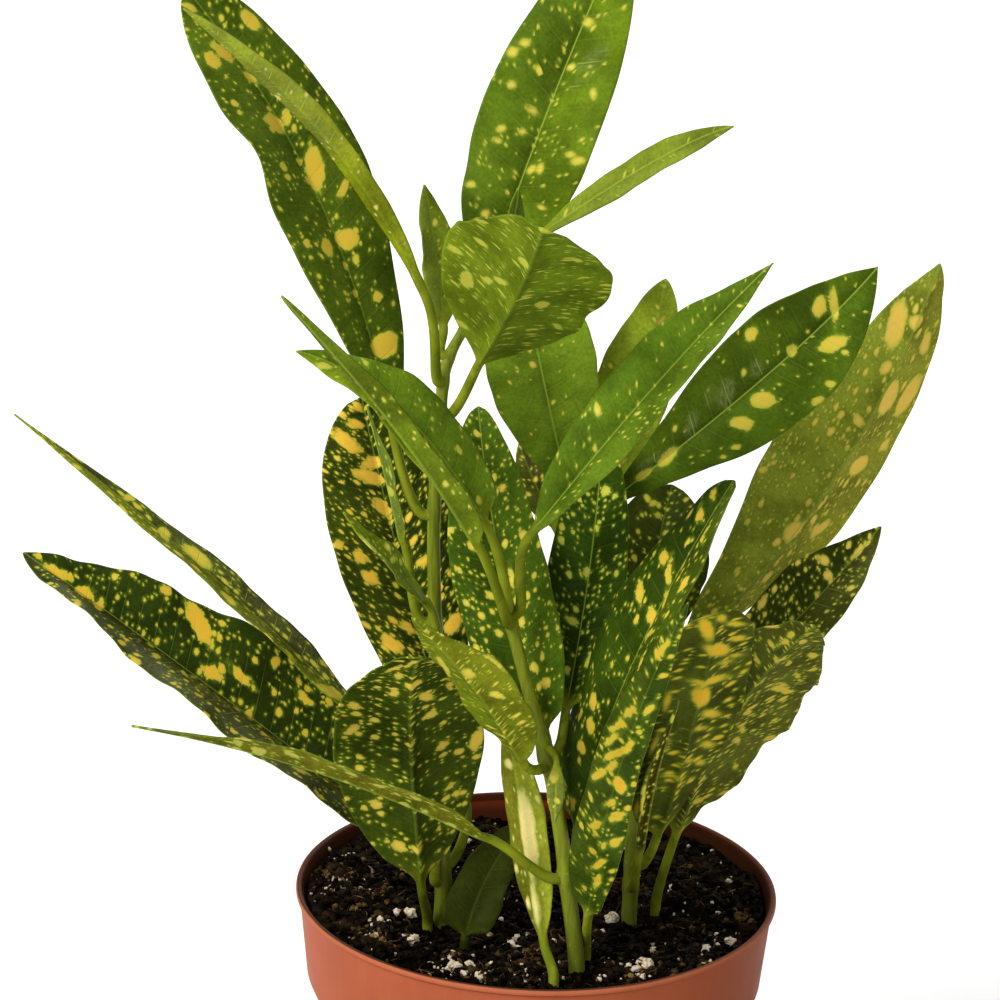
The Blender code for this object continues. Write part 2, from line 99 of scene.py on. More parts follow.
# Where small grains and golden peat gather: place, spread and count
PALE_CLUSTERS = [
    (39, -21, 3, 16), (44, -13, 2.5, 8), (27, -33, 4, 14), (-15, -33, 3.5, 16), (-24, -23, 3, 9),
    (-3, -27, 2.5, 8), (9, -42, 5, 12), (36, -6, 4, 9), (-44, 2, 4, 8), (-8, -40, 4, 10),
    (19, -25, 3, 6), (-31, -12, 3, 6), (-47, 9, 2.5, 22), (-46, 19, 2, 12), (-43, 0, 2.5, 16),
    (-16.5, -33.5, 2.6, 50), (-5, -21, 2.4, 26), (-2, -15, 2, 12), (4.5, -35, 2, 14),
    (-1, -38, 2.2, 14), (-35, -26, 2.4, 14), (-26, -21, 2, 12), (-11, -12, 2, 8),
    (-34, -15, 2, 10), (-28, -7, 2, 8),
]
PEAT_CLUSTERS = [
    (38, -9, 2.6, 70), (-3, -27, 2.4, 60), (-46, 3, 3.5, 60), (-41, -6, 3, 40), (24, -36, 3, 40),
    (-19, -28, 3, 50), (30, -25, 4, 40), (-12, -37, 3, 30), (-47, 8, 2.6, 80), (-36, -24, 3, 50),
    (-9, -22, 3, 60), (-33, -14, 3, 30), (4, -39, 3, 30), (14, -43, 3, 30), (33, -32, 3, 40),
    (46, -3, 3, 40), (-4, -34, 3, 40),
]

# Leaves and stems, in the places of the frame's
STALK_RADIUS = 1.0
STALK_PULL = 0.38
STALK_START = 4.0
STEM_BOTTOM = SOIL_TOP - 10.0
STEM_STRAIGHT = SOIL_TOP + 2.0
NOTCH_SPREAD = 0.07
OTHER_EDGE_SHIFT = 1.3
OPEN_FROM = 1.0
OPEN_OVER = 4.0

# The finer blade
BLADE_STEP = 0.8
LANE_STEP = 0.62
BLADE_MIDDLE_THICKNESS = 0.55
BLADE_EDGE_THICKNESS = 0.3
TIP_HALF_WIDTH = 0.15
MARGIN_UNEVENNESS = 0.035
RIPPLE_RATE = 3.3
RIPPLE_SHARE = 0.22
RIB_WIDTH = 0.9
RIB_RISE = 1.1
RIB_GROOVE = 0.22
VEIN_SPACING = 4.6
VEIN_SLANT = 0.45
VEIN_DEPTH = 0.10
PUFF = 0.05
BLADE_OPENS_WITHIN = 0.06
STALK_FOOT_SWELL = 1.25

# The finer stem
STEM_SIDES = 28
NODE_SWELL = 0.16
NODE_REACH = 1.8
STEM_CAP = ((0.8, 0.25), (0.45, 0.4), (0.1, 0.45))

# Blotches that are placed by chance, beside the listed ones
BLOTCHES_PER_AREA = 0.012
BLOTCH_CLEARANCE = 8
FAR_FROM_BLOTCHES = -3.0

Stem = namedtuple("Stem", "points foot_radius top_radius")
STEMS = {
    "stem_left": Stem([(-21, -11, STEM_BOTTOM), (-21, -11, STEM_STRAIGHT), (-21, -10, 102),
                       (-23, -9, 130), (-24, -8, 155), (-25, -7, 182), (-24, -6, 208),
                       (-23, -5, 216), (-20, -2, 222), (-14, 2, 231)], 1.9, 1.0),
    "stem_front": Stem([(9, -32, STEM_BOTTOM), (9, -32, STEM_STRAIGHT), (6, -32, 109),
                        (4, -32, 122), (1, -31, 136), (-4, -30, 153), (-9, -29, 171)], 1.9, 1.3),
    "stem_right": Stem([(21, -5, STEM_BOTTOM), (21, -5, STEM_STRAIGHT), (21, -4, 108),
                        (19, 0, 134), (16, 4, 166)], 1.9, 1.4),
}

# A leaf. root: the height on its stem, or the place in the soil, where its stalk starts.
# base, middle, tip: points of the blade's midrib. width: the blade's full width.
# faces: where its upper side looks. look: its colour. fold: how far each half is raised, in
# degrees; a pair gives each half its own. wave: how far the margins swing, waves: how often.
# peak: where along the blade it is widest. blunt: below 0.8 the ends are fuller. stalk: stalk
# thickness against the usual. notch: a bite in one margin, as side, place along the blade
# and depth. carrier: what it grows from.
Leaf = namedtuple("Leaf", "name root base middle tip width faces look fold wave waves peak "
                          "blunt stalk notch carrier",
                  defaults=("dark", 15, 0.8, 2, 0.45, 0.85, 1.0, None, None))

LEFT_LEAVES = [
    Leaf("top_left", 183, (-35, -6.5, 204), (-52.5, 4, 251), (-80.5, 13.5, 291), 26,
         (0.5, -0.8, 0.4), fold=12, peak=0.58, blunt=0.46, notch=(-1, 0.62, 2.6)),
    Leaf("top_left_narrow", 212, (-27.5, -14, 232.5), (-48, -19.5, 267.5), (-78.5, -21.5, 295),
         6.5, (0.3, 0.9, 0.3), "olive", fold=22, peak=0.53, blunt=0.72),
    Leaf("top_small", 217, (-24, -3, 223), (-26, 0, 238), (-29, 3, 253), 10, (0.5, -0.8, 0.1),
         "bright", fold=25),
    Leaf("top_bright", 230, (-13.5, 6, 235), (-5, 11, 262.5), (11.5, 16, 306), 27.5,
         (-0.3, -0.9, 0.2), "bright", fold=12, peak=0.53, blunt=0.45),
    Leaf("top_cupped", 205, (-16, -14, 219), (-8.5, -42, 242.5), (-4, -66, 263), 37.5,
         (0.3, 0.7, 0.7), "olive", fold=19, peak=0.49, blunt=0.66, notch=(-1, 0.4, 2)),
    Leaf("top_right_narrow", 224, (-4.5, -3, 244), (19, -5.5, 261.5), (35.5, -10, 271), 7,
         (-0.5, -0.7, 0.5), "bright", peak=0.43, blunt=0.86),
    Leaf("top_young", 231, (-12, 0, 239), (-10, -3, 247), (-9, -5, 255), 5, (0.5, -0.7, 0.2),
         "bright", fold=40, stalk=0.7),
    Leaf("left_tall_dark", 101, (-16.5, -2, 113.5), (-31, 9, 159.5), (-42, 16, 201), 30,
         (0.2, -0.9, 0.3), peak=0.67, blunt=0.48),
    Leaf("left_long", 97, (-23.5, -12.5, 104), (-70, -9.5, 139), (-114.5, -3, 169), 33,
         (0.5, -0.5, 0.7), fold=30, wave=1.1, waves=4, peak=0.44, blunt=0.75),
    Leaf("left_folded", 126, (-37.5, -13, 134), (-72, -14, 168.5), (-114.5, -16, 205), 8,
         (0.6, -0.6, 0.6), fold=36, waves=4, peak=0.37, blunt=1.1),
    Leaf("left_small", 145, (-26, -15, 165), (-34, -19, 175), (-44, -21, 187), 9, (0.5, -0.2, 0.8),
         "bright"),
    Leaf("left_slim", 157, (-31, -7, 175), (-35, -6, 190), (-40, -3, 205), 7, (0.9, 0.3, 0.2),
         "olive"),
]
FRONT_LEAVES = [
    Leaf("middle_folded", 166, (-15, -40, 187), (-32.5, -47, 215), (-56, -52, 243.5), 8,
         (0.5, 0.7, 0.5), "bright", fold=40, peak=0.3, blunt=0.56),
    Leaf("middle_broad", 170, (-13.5, -29.5, 188), (-32.5, -29.5, 213), (-54, -31, 225.5), 17.5,
         (0.6, -0.6, 0.6), "bright", peak=0.31),
    Leaf("middle_bright", 168, (-4.5, -32, 186.5), (21.5, -33, 222), (43.5, -36, 249), 18,
         (-0.6, -0.7, 0.4), "bright", fold=25, peak=0.42, blunt=1.1),
    Leaf("low_left_narrow", 109, (-10, -39, 120), (-47, -47, 138.5), (-86, -54, 150), 16,
         (0.3, 0.4, 0.8), "olive", wave=0.5),
    Leaf("front_olive", 135, (-4, -38.5, 138), (-14, -51, 159), (-28, -63, 179.5), 17,
         (0.4, 0.9, 0.5), "olive"),
    Leaf("front_tall", 109, (8, -28.5, 118), (18.2, -32.5, 158), (38.5, -26, 198.5), 25.5,
         (-0.9, -0.3, 0.3), fold=(20, 10), peak=0.42, blunt=0.42),
    Leaf("centre_dark", 136, (4.8, -24, 144.5), (9, -12, 172.5), (11, -6, 201.5), 18.5,
         (-0.2, -0.95, 0.2), peak=0.4, blunt=0.52),
    Leaf("centre_left", 137, (0.5, -27, 140), (-10, -18, 174.5), (-16, -10, 208), 22,
         (-0.2, -0.95, 0.2), peak=0.42, blunt=0.55),
    Leaf("front_tiny", 139, (3, -36, 137), (3, -38, 131), (3, -40, 125), 4, (0, -0.8, 0.2),
         "yellow", stalk=0.7),
]
RIGHT_LEAVES = [
    Leaf("back_olive", 163, (12, 12, 182), (19, 16, 207), (24, 20, 229), 18, (-0.2, 0.9, 0.2),
         "bright", blunt=0.7),
    Leaf("back_bright", 158, (4, 8, 184), (-3, 6, 213), (-8, 8, 236), 25, (0.1, -1, 0.1), "bright",
         peak=0.52, blunt=0.7),
    Leaf("right_glossy", 164, (9.5, 0, 181), (45.5, -2.5, 214.5), (67.5, -8, 241), 25,
         (-0.2, -1, 0), waves=3, peak=0.54, blunt=1.01),
    Leaf("right_olive", 133, (28.5, 2.5, 147.5), (61.5, 13, 185), (83, 14, 236), 31.5,
         (-0.4, 0.9, 0.1), "olive", fold=22, peak=0.55, blunt=0.8),
    Leaf("right_dark", 122, (38, 1, 138), (57, 4, 158), (73, 6, 178), 20, (-0.4, -0.7, 0.6)),
    Leaf("back_small", 152, (2, 18, 171), (-3, 22, 180), (-7, 26, 188), 8, (0.1, -1, 0.1)),
    Leaf("back_shaded", 130, (23, 13.5, 147), (24.5, 17, 165.5), (27.5, 21.5, 181), 23.5,
         (0, -1, 0.2), fold=5, peak=0.46, blunt=0.52),
    Leaf("low_right_broad", 100, (26, -14, 111), (32, -34, 149), (35, -46, 176), 29,
         (-0.5, 0.75, 0.4), "olive", fold=8, peak=0.54, blunt=0.46),
    Leaf("low_right_slim", 95, (22, -17, 108), (24, -34, 134), (28, -45, 156), 6, (-0.9, 0.4, 0.2),
         "yellow", fold=35),
]
SOIL_LEAVES = [
    Leaf("low_left_broad", (-24, -14), (-25.5, -21.5, 101), (-28.5, -38, 147), (-26, -52, 166.5),
         33, (-0.2, 0.8, 0.6), "olive", fold=10, peak=0.38, blunt=0.93),
    Leaf("front_yellow", (4, -40), (1.6, -35.8, 95), (-3.3, -30, 120), (-8.5, -27, 146), 9.5,
         (0.3, 0.9, 0.1), "yellow"),
    Leaf("low_back", (-15.5, -22.5), (-15.5, -22, 89.5), (-11.5, -16, 100), (-4.5, -9.5, 110),
         12.5, (-0.3, -0.9, 0.2), peak=0.28, blunt=0.34),
    Leaf("front_spotted", (11, -28), (11, -34, 100), (16.5, -47, 142), (28.5, -56, 182), 13,
         (-0.6, -0.8, -0.1), "bright", peak=0.34, blunt=0.75),
    Leaf("low_right_wavy", (27, -1), (30.5, -4.5, 107), (41.5, -14.5, 141), (57, -27.5, 167), 36.5,
         (-0.2, 0.9, 0.4), "olive", fold=16, wave=1.4, waves=4, peak=0.53, blunt=0.75),
]
LEAVES = [leaf._replace(name=f"leaf_{leaf.name}", carrier=carrier)
          for carrier, leaves in (("stem_left", LEFT_LEAVES), ("stem_front", FRONT_LEAVES),
                                  ("stem_right", RIGHT_LEAVES), ("soil", SOIL_LEAVES))
          for leaf in leaves]

# Where stems and stalks leave the soil: place and radius
FEET = [(*stem.points[0][:2], stem.foot_radius) for stem in STEMS.values()]
FEET += [(*leaf.root, STALK_RADIUS * leaf.stalk) for leaf in SOIL_LEAVES]

LIME = (0.30, 0.37, 0.035)
HALO = (0.13, 0.19, 0.012)
# The grey of the painted sheen, a painted reflection
SHEEN_GREY = (0.18, 0.21, 0.07)
PALE_RIB = (0.25, 0.34, 0.040)
GLOSS_TINT = (0.75, 1.0, 0.25)
STALK_GREEN = (0.207, 0.237, 0.013)
STALK_SHADE = (0.112, 0.142, 0.0072)
# Stalks painted darker by a factor, as painted shade low in the plant
STALKS_IN_PAINTED_SHADE = {"leaf_low_back": 0.13, "leaf_low_left_broad": 0.6}

# What a leaf shows on the side that isn't its best one
UPPER_GREEN = (0.060, 0.100, 0.007)
UNDER_GREEN = (0.120, 0.150, 0.010)

# A leaf's coat. plus, minus: the greens of its two halves, in thousandths, each half as lit
# where it hangs, so their difference, and part of how dark the inner leaves are, is painted
# light and shade. marks: the colour of its spots. dots, dust: the shares of cells with a
# middling dot and with a fine dot. stretch: how far they are drawn out along the veins, below
# 1 along the midrib. lean: how steeply the veins rise. soft: how soft the spots' edges are.
# rib: how pale the midrib is, and how deep the painted shade beside it.
Coat = namedtuple("Coat", "plus minus marks dots dust stretch lean soft rib")
COATS = {
    "top_left": ((45, 72, 3.9), (58, 92, 4.9), (510, 340, 31), 0.45, 0.45, 0.8, 0.3, 1.1, 0.3),
    "top_left_narrow": ((151, 178, 4.6), (180, 209, 9.4), (690, 450, 170), 0.15, 0.2, 1, 0.3, 1.6,
        0.1),
    "top_small": ((161, 211, 12), (206, 268, 27), (610, 470, 58), 0.1, 0.3, 1, 0.3, 1.5, 0.3),
    "top_bright": ((87, 140, 4.7), (67, 113, 5.6), (620, 450, 60), 0.1, 0.25, 1.1, 0.5, 2.4, 0.7),
    "top_cupped": ((108, 148, 5.8), (86, 129, 5.5), (380, 350, 41), 0.5, 0.4, 3, 0.2, 1.3, 0.2),
    "top_right_narrow": ((139, 181, 16), (141, 185, 13), (480, 360, 37), 0.2, 0.2, 1.6, 0.8, 1.8,
        0.5),
    "top_young": ((111, 170, 10), (111, 170, 10), (700, 420, 35), 0.1, 0.1, 1, 0.5, 1.5, 0.9),
    "left_tall_dark": ((17, 25, 1.9), (34, 47, 4.3), (864, 508, 51), 0.85, 0.85, 1.2, 0.8, 0.8,
        0.4),
    "left_long": ((19, 31, 2.9), (36, 40, 6), (620, 370, 30), 0.6, 0.6, 1, 0.3, 0.8, 0.5),
    "left_folded": ((52, 49, 11), (140, 155, 12), (570, 430, 43), 0.9, 0.9, 0.35, 0, 1, 0.3),
    "left_small": ((172, 249, 6.6), (141, 189, 6.9), (640, 600, 77), 0.4, 0.7, 1, 0.4, 1.3, 0.4),
    "left_slim": ((101, 134, 18), (101, 134, 18), (390, 350, 56), 0.6, 0.75, 0.5, 0.2, 1.2, 0.4),
    "middle_folded": ((96, 137, 7.8), (96, 137, 7.8), (600, 460, 70), 0.3, 0.3, 0.6, 0.4, 1.5,
        0.4),
    "middle_broad": ((83, 139, 6.9), (157, 224, 8.2), (460, 420, 50), 0.3, 0.25, 0.8, 0.4, 1.4,
        0.5),
    "middle_bright": ((75, 125, 7), (68, 121, 6), (580, 440, 65), 0.08, 0.22, 1.2, 0.7, 1.6, 0.5),
    "low_left_narrow": ((111, 107, 5.8), (111, 107, 5.8), (420, 360, 67), 0.7, 0.7, 0.4, 0.2, 1.2,
        0.5),
    "front_olive": ((121, 153, 7.3), (140, 159, 7.7), (672, 504, 60), 0.6, 0.6, 2.4, 0.5, 1.4,
        0.2),
    "front_tall": ((41, 63, 3.5), (25, 48, 2.4), (620, 380, 36), 0.3, 0.35, 0.6, 0.3, 0.9, 0.5),
    "centre_dark": ((18, 40, 2), (23, 51, 4.1), (510, 480, 57), 0.7, 0.75, 0.9, 0.4, 0.9, 0.5),
    "centre_left": ((48, 90, 5), (35, 67, 4.4), (717, 538, 66), 0.7, 0.75, 0.9, 0.4, 0.9, 0.5),
    "front_tiny": ((142, 168, 23), (142, 168, 23), (580, 380, 66), 0.6, 0.5, 1, 0.4, 1, 0.5),
    "back_olive": ((238, 306, 19), (352, 468, 32), (650, 530, 75), 0.3, 0.15, 1.2, 0.5, 1.8, 0.3),
    "back_bright": ((123, 200, 11), (149, 242, 13), (850, 620, 80), 0.12, 0.12, 1, 0.5, 1.8, 0.7),
    "right_glossy": ((54, 96, 4.7), (47, 78, 3.6), (541, 403, 45), 0.08, 0.15, 1, 0.5, 1.2, 0.7),
    "right_olive": ((180, 214, 20), (190, 196, 18), (640, 430, 70), 0.75, 0.8, 0.5, 0.1, 1.5, 0.4),
    "right_dark": ((51, 55, 5.8), (30, 40, 3.4), (817, 561, 96), 0.9, 0.9, 0.9, 0.4, 0.9, 0.4),
    "back_small": ((45, 40, 14), (77, 88, 11), (892, 578, 79), 0.4, 0.5, 1, 0.4, 1, 0.3),
    "back_shaded": ((56, 74, 14), (41, 52, 6), (729, 567, 65), 0.6, 0.5, 1, 0.4, 1.1, 0.3),
    "low_right_broad": ((50, 62, 6), (50, 58, 5), (640, 370, 20), 0.9, 0.2, 2, 0, 2.6, 0.1),
    "low_right_slim": ((45, 32, 2.7), (45, 32, 2.7), (675, 540, 65), 0.5, 0.6, 0.6, 0.2, 1, 0.4),
    "low_left_broad": ((37, 56, 3.8), (41, 60, 5.1), (680, 460, 60), 0.65, 0.6, 1.6, 0.15, 0.9,
        0.2),
    "front_yellow": ((134, 133, 8.9), (241, 264, 18), (740, 600, 220), 0.5, 0.3, 0.4, 0.2, 1.8,
        0.2),
    "low_back": ((20, 25, 2.7), (22, 28, 3.1), (380, 200, 40), 0, 0, 1, 0.4, 1.2, 0.04),
    "front_spotted": ((23, 43, 2.7), (31, 50, 3.1), (500, 280, 20), 0.5, 0.4, 1.3, 0.7, 1.3, 0.1),
    "low_right_wavy": ((60, 70, 9), (72, 77, 10), (560, 360, 50), 0.55, 0.75, 1.9, 0.5, 1.1, 0.2),
}
# The largest blotches: place across and along the blade, two radii and a turn in degrees
BLOTCHES = {
    "top_left": [(2, 54.5, 4.8, 1.8, 70), (2.5, 14.5, 3.1, 2.5, 20), (2, 38, 2.5, 2.1, -40),
        (-1.5, 67, 2.7, 1.8, -60), (7, 88, 2.5, 1.5, -80), (-3, 86, 2.9, 1.2, -70),
        (-6.5, 85.5, 2.2, 1.3, -80), (-3.5, 38, 1.8, 1.3, 90), (2, 67, 1.5, 0.9, 75),
        (5.5, 48, 1.9, 0.7, 40), (-0.5, 78.5, 1.7, 0.7, -70), (-2.5, 98, 1.9, 0.6, -65),
        (4, 24.5, 1.1, 1, 20)],
    "top_bright": [(-11.5, 51.4, 1.1, 0.86, 20), (-9.7, 53.8, 0.88, 0.62, 20),
        (1.1, 61.2, 1.2, 0.62, 10), (-9, 45.7, 0.8, 0.62, 0), (8.9, 50.2, 1, 0.62, -50),
        (-7.9, 36.5, 0.88, 0.62, 40), (-7.6, 33.8, 0.72, 0.55, 0), (-3.3, 37.6, 0.72, 0.55, 0),
        (-10, 21.6, 1, 0.7, 20), (-4.8, 15.5, 1, 0.7, 80), (9.3, 37.2, 0.96, 0.55, 30),
        (6.9, 22.5, 0.8, 0.47, 0), (11.5, 36.5, 1.4, 0.78, 35), (3.5, 31.5, 1.1, 0.7, -85),
        (1.5, 30.5, 1.1, 0.7, 60), (-3, 42.5, 1.3, 0.55, -20)],
    "top_cupped": [(11, 24, 2.8, 1.6, 80), (-6, 29, 1.7, 1.4, 85), (16, 31, 1.8, 1, -15),
        (1.5, 49, 1.4, 1.2, -40), (11.5, 41.5, 1.6, 1, -10), (4.5, 33.5, 1.7, 0.8, -45),
        (13, 53, 1.4, 0.8, -40), (7, 29.5, 1.2, 0.9, -50), (-11.5, 20, 1.5, 0.7, 45),
        (-0.5, 68.5, 1.3, 0.8, 40)],
    "left_tall_dark": [(-6, 83.5, 4.6, 1.5, -55), (-2.5, 73.5, 4.4, 1.4, -35),
        (-7, 35.5, 3, 1.5, -45), (8, 36, 2.6, 1.7, 35), (-1, 65.5, 2.7, 1.4, -60),
        (-1, 76.5, 2.2, 1.6, -20), (-8, 51, 2.1, 1.3, -55), (-9, 56, 2.2, 1.1, -40),
        (-3, 87, 2.1, 1, -35), (-2.5, 38, 2.2, 0.8, -40), (-13.5, 60.5, 1.4, 1, -25),
        (-1.5, 91, 1.5, 0.8, -50)],
    "left_long": [(10, 70.5, 5.5, 1.9, 60), (0, 95.5, 2.1, 1.5, -60), (0.5, 103.5, 2.9, 1, -80),
        (2.5, 61.5, 2.4, 1.2, -85), (-1, 91, 1.9, 1.3, 0), (5.5, 56, 3, 0.8, 85),
        (10.5, 42, 1.8, 0.8, 80), (11, 80.5, 1.3, 1, 80), (-7, 95, 1.5, 0.8, 10),
        (-10, 34.5, 2, 0.6, -50), (-5.5, 74, 1.4, 0.8, -25), (-12.5, 77.5, 1.4, 0.8, 75),
        (0, 49.5, 1.4, 0.8, 20), (-4, 66.5, 1.2, 0.9, -10)],
    "left_folded": [(-1, 14, 3.7, 1.2, -70), (1, 58.5, 3.9, 1.1, -90), (0, 67, 1.7, 1.1, 75),
        (-2.5, 47.5, 1.9, 0.8, 90), (-3, 28.5, 1.7, 0.6, -90)],
    "left_small": [(-2.5, 22, 1.9, 0.6, 75)],
    "middle_broad": [(-1.5, 49, 1.8, 0.7, -80)],
    "low_left_narrow": [(-1.5, 56, 1.6, 1.3, -65), (-4, 49.5, 2.1, 0.8, -65),
        (-3, 29, 1.6, 0.9, 60), (-3, 61, 1.7, 0.8, -25), (-4, 21, 1.3, 1, -65),
        (-4, 36, 1.3, 0.9, -85)],
    "front_olive": [(6, 33.5, 4.6, 0.8, -70), (-3, 24.5, 1.7, 0.9, 50), (-1, 33.5, 1.7, 0.7, 80),
        (-7, 34.5, 2.6, 0.4, 75)],
    "front_tall": [(-0.5, 55.5, 2.2, 1.2, -40), (1.6, 60.5, 2.2, 0.9, -45),
        (3.2, 53, 2.4, 0.7, 30), (-5.7, 31.5, 1.9, 1.1, -57), (-3.9, 26.5, 1.7, 1.1, -65),
        (6.9, 65.6, 1.5, 1.2, 76), (-6.1, 58.1, 2.1, 0.9, -50), (-5.3, 67, 1.6, 0.9, -32),
        (-2.4, 65.9, 2.3, 0.6, -60), (-2.8, 78.3, 1.7, 0.8, -47), (-4.3, 20.4, 1.3, 1, -55),
        (9.2, 45.4, 1.7, 0.7, 34), (3.7, 74.7, 1.2, 0.6, -17), (-2.7, 83, 1, 0.6, -40)],
    "centre_dark": [(6.4, 17, 2.9, 0.8, 74), (3.4, 10.4, 1.2, 0.9, 48),
        (-2.3, 18.7, 1.1, 0.8, -27), (-0.5, 29.2, 1.1, 0.7, -82)],
    "centre_left": [(-7.4, 18.1, 2.1, 0.8, -36), (3.6, 10.4, 1.3, 1, 31),
        (7.1, 42.3, 1.1, 1.1, -88), (2.2, 13.8, 1.2, 0.9, -47), (3.4, 53.4, 1.2, 0.8, 6),
        (2, 33.7, 2, 0.5, 85)],
    "front_tiny": [(0.5, 2.5, 1.5, 0.7, -90)],
    "right_glossy": [(4.5, 59.5, 3.6, 1.5, 70), (3.5, 38.5, 2.7, 1.6, 50), (-3.5, 64, 3, 1.4, -70),
        (-1.5, 67, 4.3, 0.9, -50), (4.5, 32, 2.2, 1.2, 40), (0, 16.5, 2.1, 1, -85),
        (-9.5, 47, 1.7, 1.1, -65), (-0.5, 50.5, 1.4, 1, -60), (11.5, 47.5, 1.5, 0.8, 80),
        (0, 11, 1.5, 0.8, 85)],
    "right_olive": [(-3, 76, 4.3, 2.9, 70), (-10, 77, 4.8, 2.3, 90), (4, 91.5, 5.5, 1.9, 80),
        (-7, 59.5, 2.9, 2.4, -30), (0, 40, 3, 1.7, -80), (-6.5, 89, 2.8, 1.3, 65),
        (-8.5, 43.5, 2.7, 1.3, -65), (0, 93.5, 1.7, 1.5, -25), (-12, 65.5, 1.7, 1, -65),
        (2, 82, 1.5, 1, -85), (-4, 44.5, 1.3, 1, 50), (2, 69, 1.4, 0.9, 40)],
    "right_dark": [(0, 46, 3, 0.6, -90), (-8.5, 21.5, 1.6, 1, -70), (-4.5, 38.5, 1.4, 0.9, 15),
        (-1.5, 36.5, 1, 1, -90)],
    "low_right_broad": [(-2.5, 56.5, 5.1, 1.7, 45), (-1, 41, 4.3, 2, 60), (-3, 45, 5.5, 1, 25),
        (2, 67.5, 4.6, 1.2, 75), (7, 41.5, 2.3, 0.6, 90), (-5.6, 32.5, 3.2, 0.9, 35),
        (-1.5, 70, 2.2, 0.9, 60), (-6.1, 64.4, 2.6, 0.8, 35), (-8.1, 57.1, 2.2, 0.9, 30),
        (-6.2, 49, 2, 0.4, 30), (-9, 49.6, 1.8, 0.4, 30), (-3.5, 29.2, 2, 0.5, 30),
        (-7.4, 22.2, 2, 0.7, 35), (-7.1, 16.8, 1.6, 0.5, 35), (-2.6, 20, 1.8, 0.4, 35),
        (7.6, 27.8, 1.9, 0.5, -81), (7.4, 9.4, 1.8, 0.4, 78), (1.6, 17.6, 1.4, 0.4, 10)],
    "low_right_slim": [(2.5, 23.5, 5.4, 0.4, 90)],
    "low_left_broad": [(-0.5, 49.5, 2, 1.4, -20), (-15, 26.5, 2.5, 1.4, -70),
        (1, 63.5, 3.5, 0.4, -80), (4, 57.5, 2.1, 0.6, -60), (-3.5, 42.5, 2.3, 1, 50),
        (3, 53.5, 1.6, 0.9, 85), (12.5, 32.5, 1.8, 0.8, -30), (-5, 36, 1.3, 1.1, -20),
        (4, 7, 1.7, 0.8, 20), (-7.5, 26.5, 1.5, 0.9, -25), (3.5, 45, 1.4, 0.9, -85),
        (12, 40, 1.4, 0.9, 30), (-9, 44, 1.5, 0.8, 80), (8, 15.5, 1.5, 0.8, 10)],
    "front_yellow": [(-0.4, 24, 9.5, 1.7, -88), (0.3, 8.5, 4.5, 0.9, 90)],
    "front_spotted": [(1.5, 39, 2.3, 1.6, 30), (3, 31.5, 2.7, 0.9, 50), (1.5, 12, 2.2, 0.8, 70),
        (-1.7, 42.1, 1.4, 0.7, 75), (-1.8, 56.7, 1.9, 0.6, 70), (0.6, 33.4, 1.6, 0.6, 54),
        (-1.2, 46, 1.5, 0.7, 55), (-2.6, 44.5, 1.4, 0.7, 60), (4.3, 25, 1.5, 0.8, 50),
        (-1.6, 26, 1.3, 0.7, 60), (1.2, 22, 1.2, 0.6, 60), (2.2, 60, 1.6, 0.6, 70),
        (0.5, 48.5, 2.1, 0.8, 65), (1, 16.5, 2.4, 0.6, 55), (-4, 38.5, 1.9, 0.7, 60),
        (-3, 52.5, 1.8, 0.7, 60), (-0.5, 74.5, 2, 0.6, 80), (-3.5, 48.5, 1.8, 0.6, 65)],
    "low_right_wavy": [(-9.5, 42, 3.4, 0.9, 20), (-1, 55, 1.8, 0.7, 20), (-10.5, 55, 1.5, 0.8, 15),
        (-8.6, 44, 2.2, 0.5, 25), (-6.2, 25.3, 1.3, 0.7, 50), (-5.8, 29, 1.8, 0.5, 48),
        (-2, 62.5, 1.3, 0.9, 50), (7.4, 63.9, 1.6, 0.8, -20), (-12.2, 40.7, 1.7, 0.9, 15),
        (-10.9, 47.5, 1.5, 0.4, 40), (-4, 34.8, 1.2, 0.8, 40), (2, 63.4, 1, 0.7, 70),
        (1.7, 60.5, 1.4, 0.5, -74), (-4.9, 52.7, 1, 0.6, 44), (-9.3, 17.7, 1.2, 0.5, 40)],
}
# Painted sheen, a reflection painted as grey patches between the veins: place across and along,
# two radii, a turn and a strength
SHEEN_PATCHES = {
    "right_glossy": [(-3, 33.5, 4.4, 1.9, -50, 0.85), (-2.8, 42, 2.8, 1.6, -50, 0.6),
        (-2.4, 24, 3.8, 1.5, -50, 0.65), (-1.6, 14.5, 4.5, 1.1, 80, 0.5),
        (-5, 31, 3, 1.6, -50, 0.3)],
    "top_bright": [(5.5, 56, 5, 1.7, 50, 0.45), (5, 51.5, 4, 1, 50, 0.25)],
    "top_left_narrow": [(0, 60, 25, 5, 90, 0.4)],
    "left_long": [(-7, 55, 42, 7, 90, 0.2)],
    "left_folded": [(3, 40, 60, 3, 90, 0.25)],
    "right_dark": [(3, 40, 14, 5, 85, 0.2)],
}
COATS, BLOTCHES, SHEEN_PATCHES = ({f"leaf_{name}": row for name, row in table.items()}
                           for table in (COATS, BLOTCHES, SHEEN_PATCHES))


def unit(vector):
    vector = np.asarray(vector, float)
    return vector / np.linalg.norm(vector)


def across(vector, along):
    """The part of a vector at right angles to a direction, as a unit vector."""
    return unit(vector - np.dot(vector, along) * along)


def smooth_step(value, low, high):
    t = np.clip((value - low) / (high - low), 0.0, 1.0)
    return t * t * (3 - 2 * t)


def smooth_path(points, steps):
    """Points on a smooth curve through the given ones, with some steps in each stretch."""
    given = np.asarray(points, float)
    ends = np.vstack([2 * given[0] - given[1], given, 2 * given[-1] - given[-2]])
    path = [0.5 * (2 * b + (c - a) * t + (2 * a - 5 * b + 4 * c - d) * t ** 2
                   + (3 * b - a - 3 * c + d) * t ** 3)
            for a, b, c, d in zip(ends, ends[1:], ends[2:], ends[3:])
            for t in np.arange(steps) / steps]
    return np.array(path + [given[-1]])


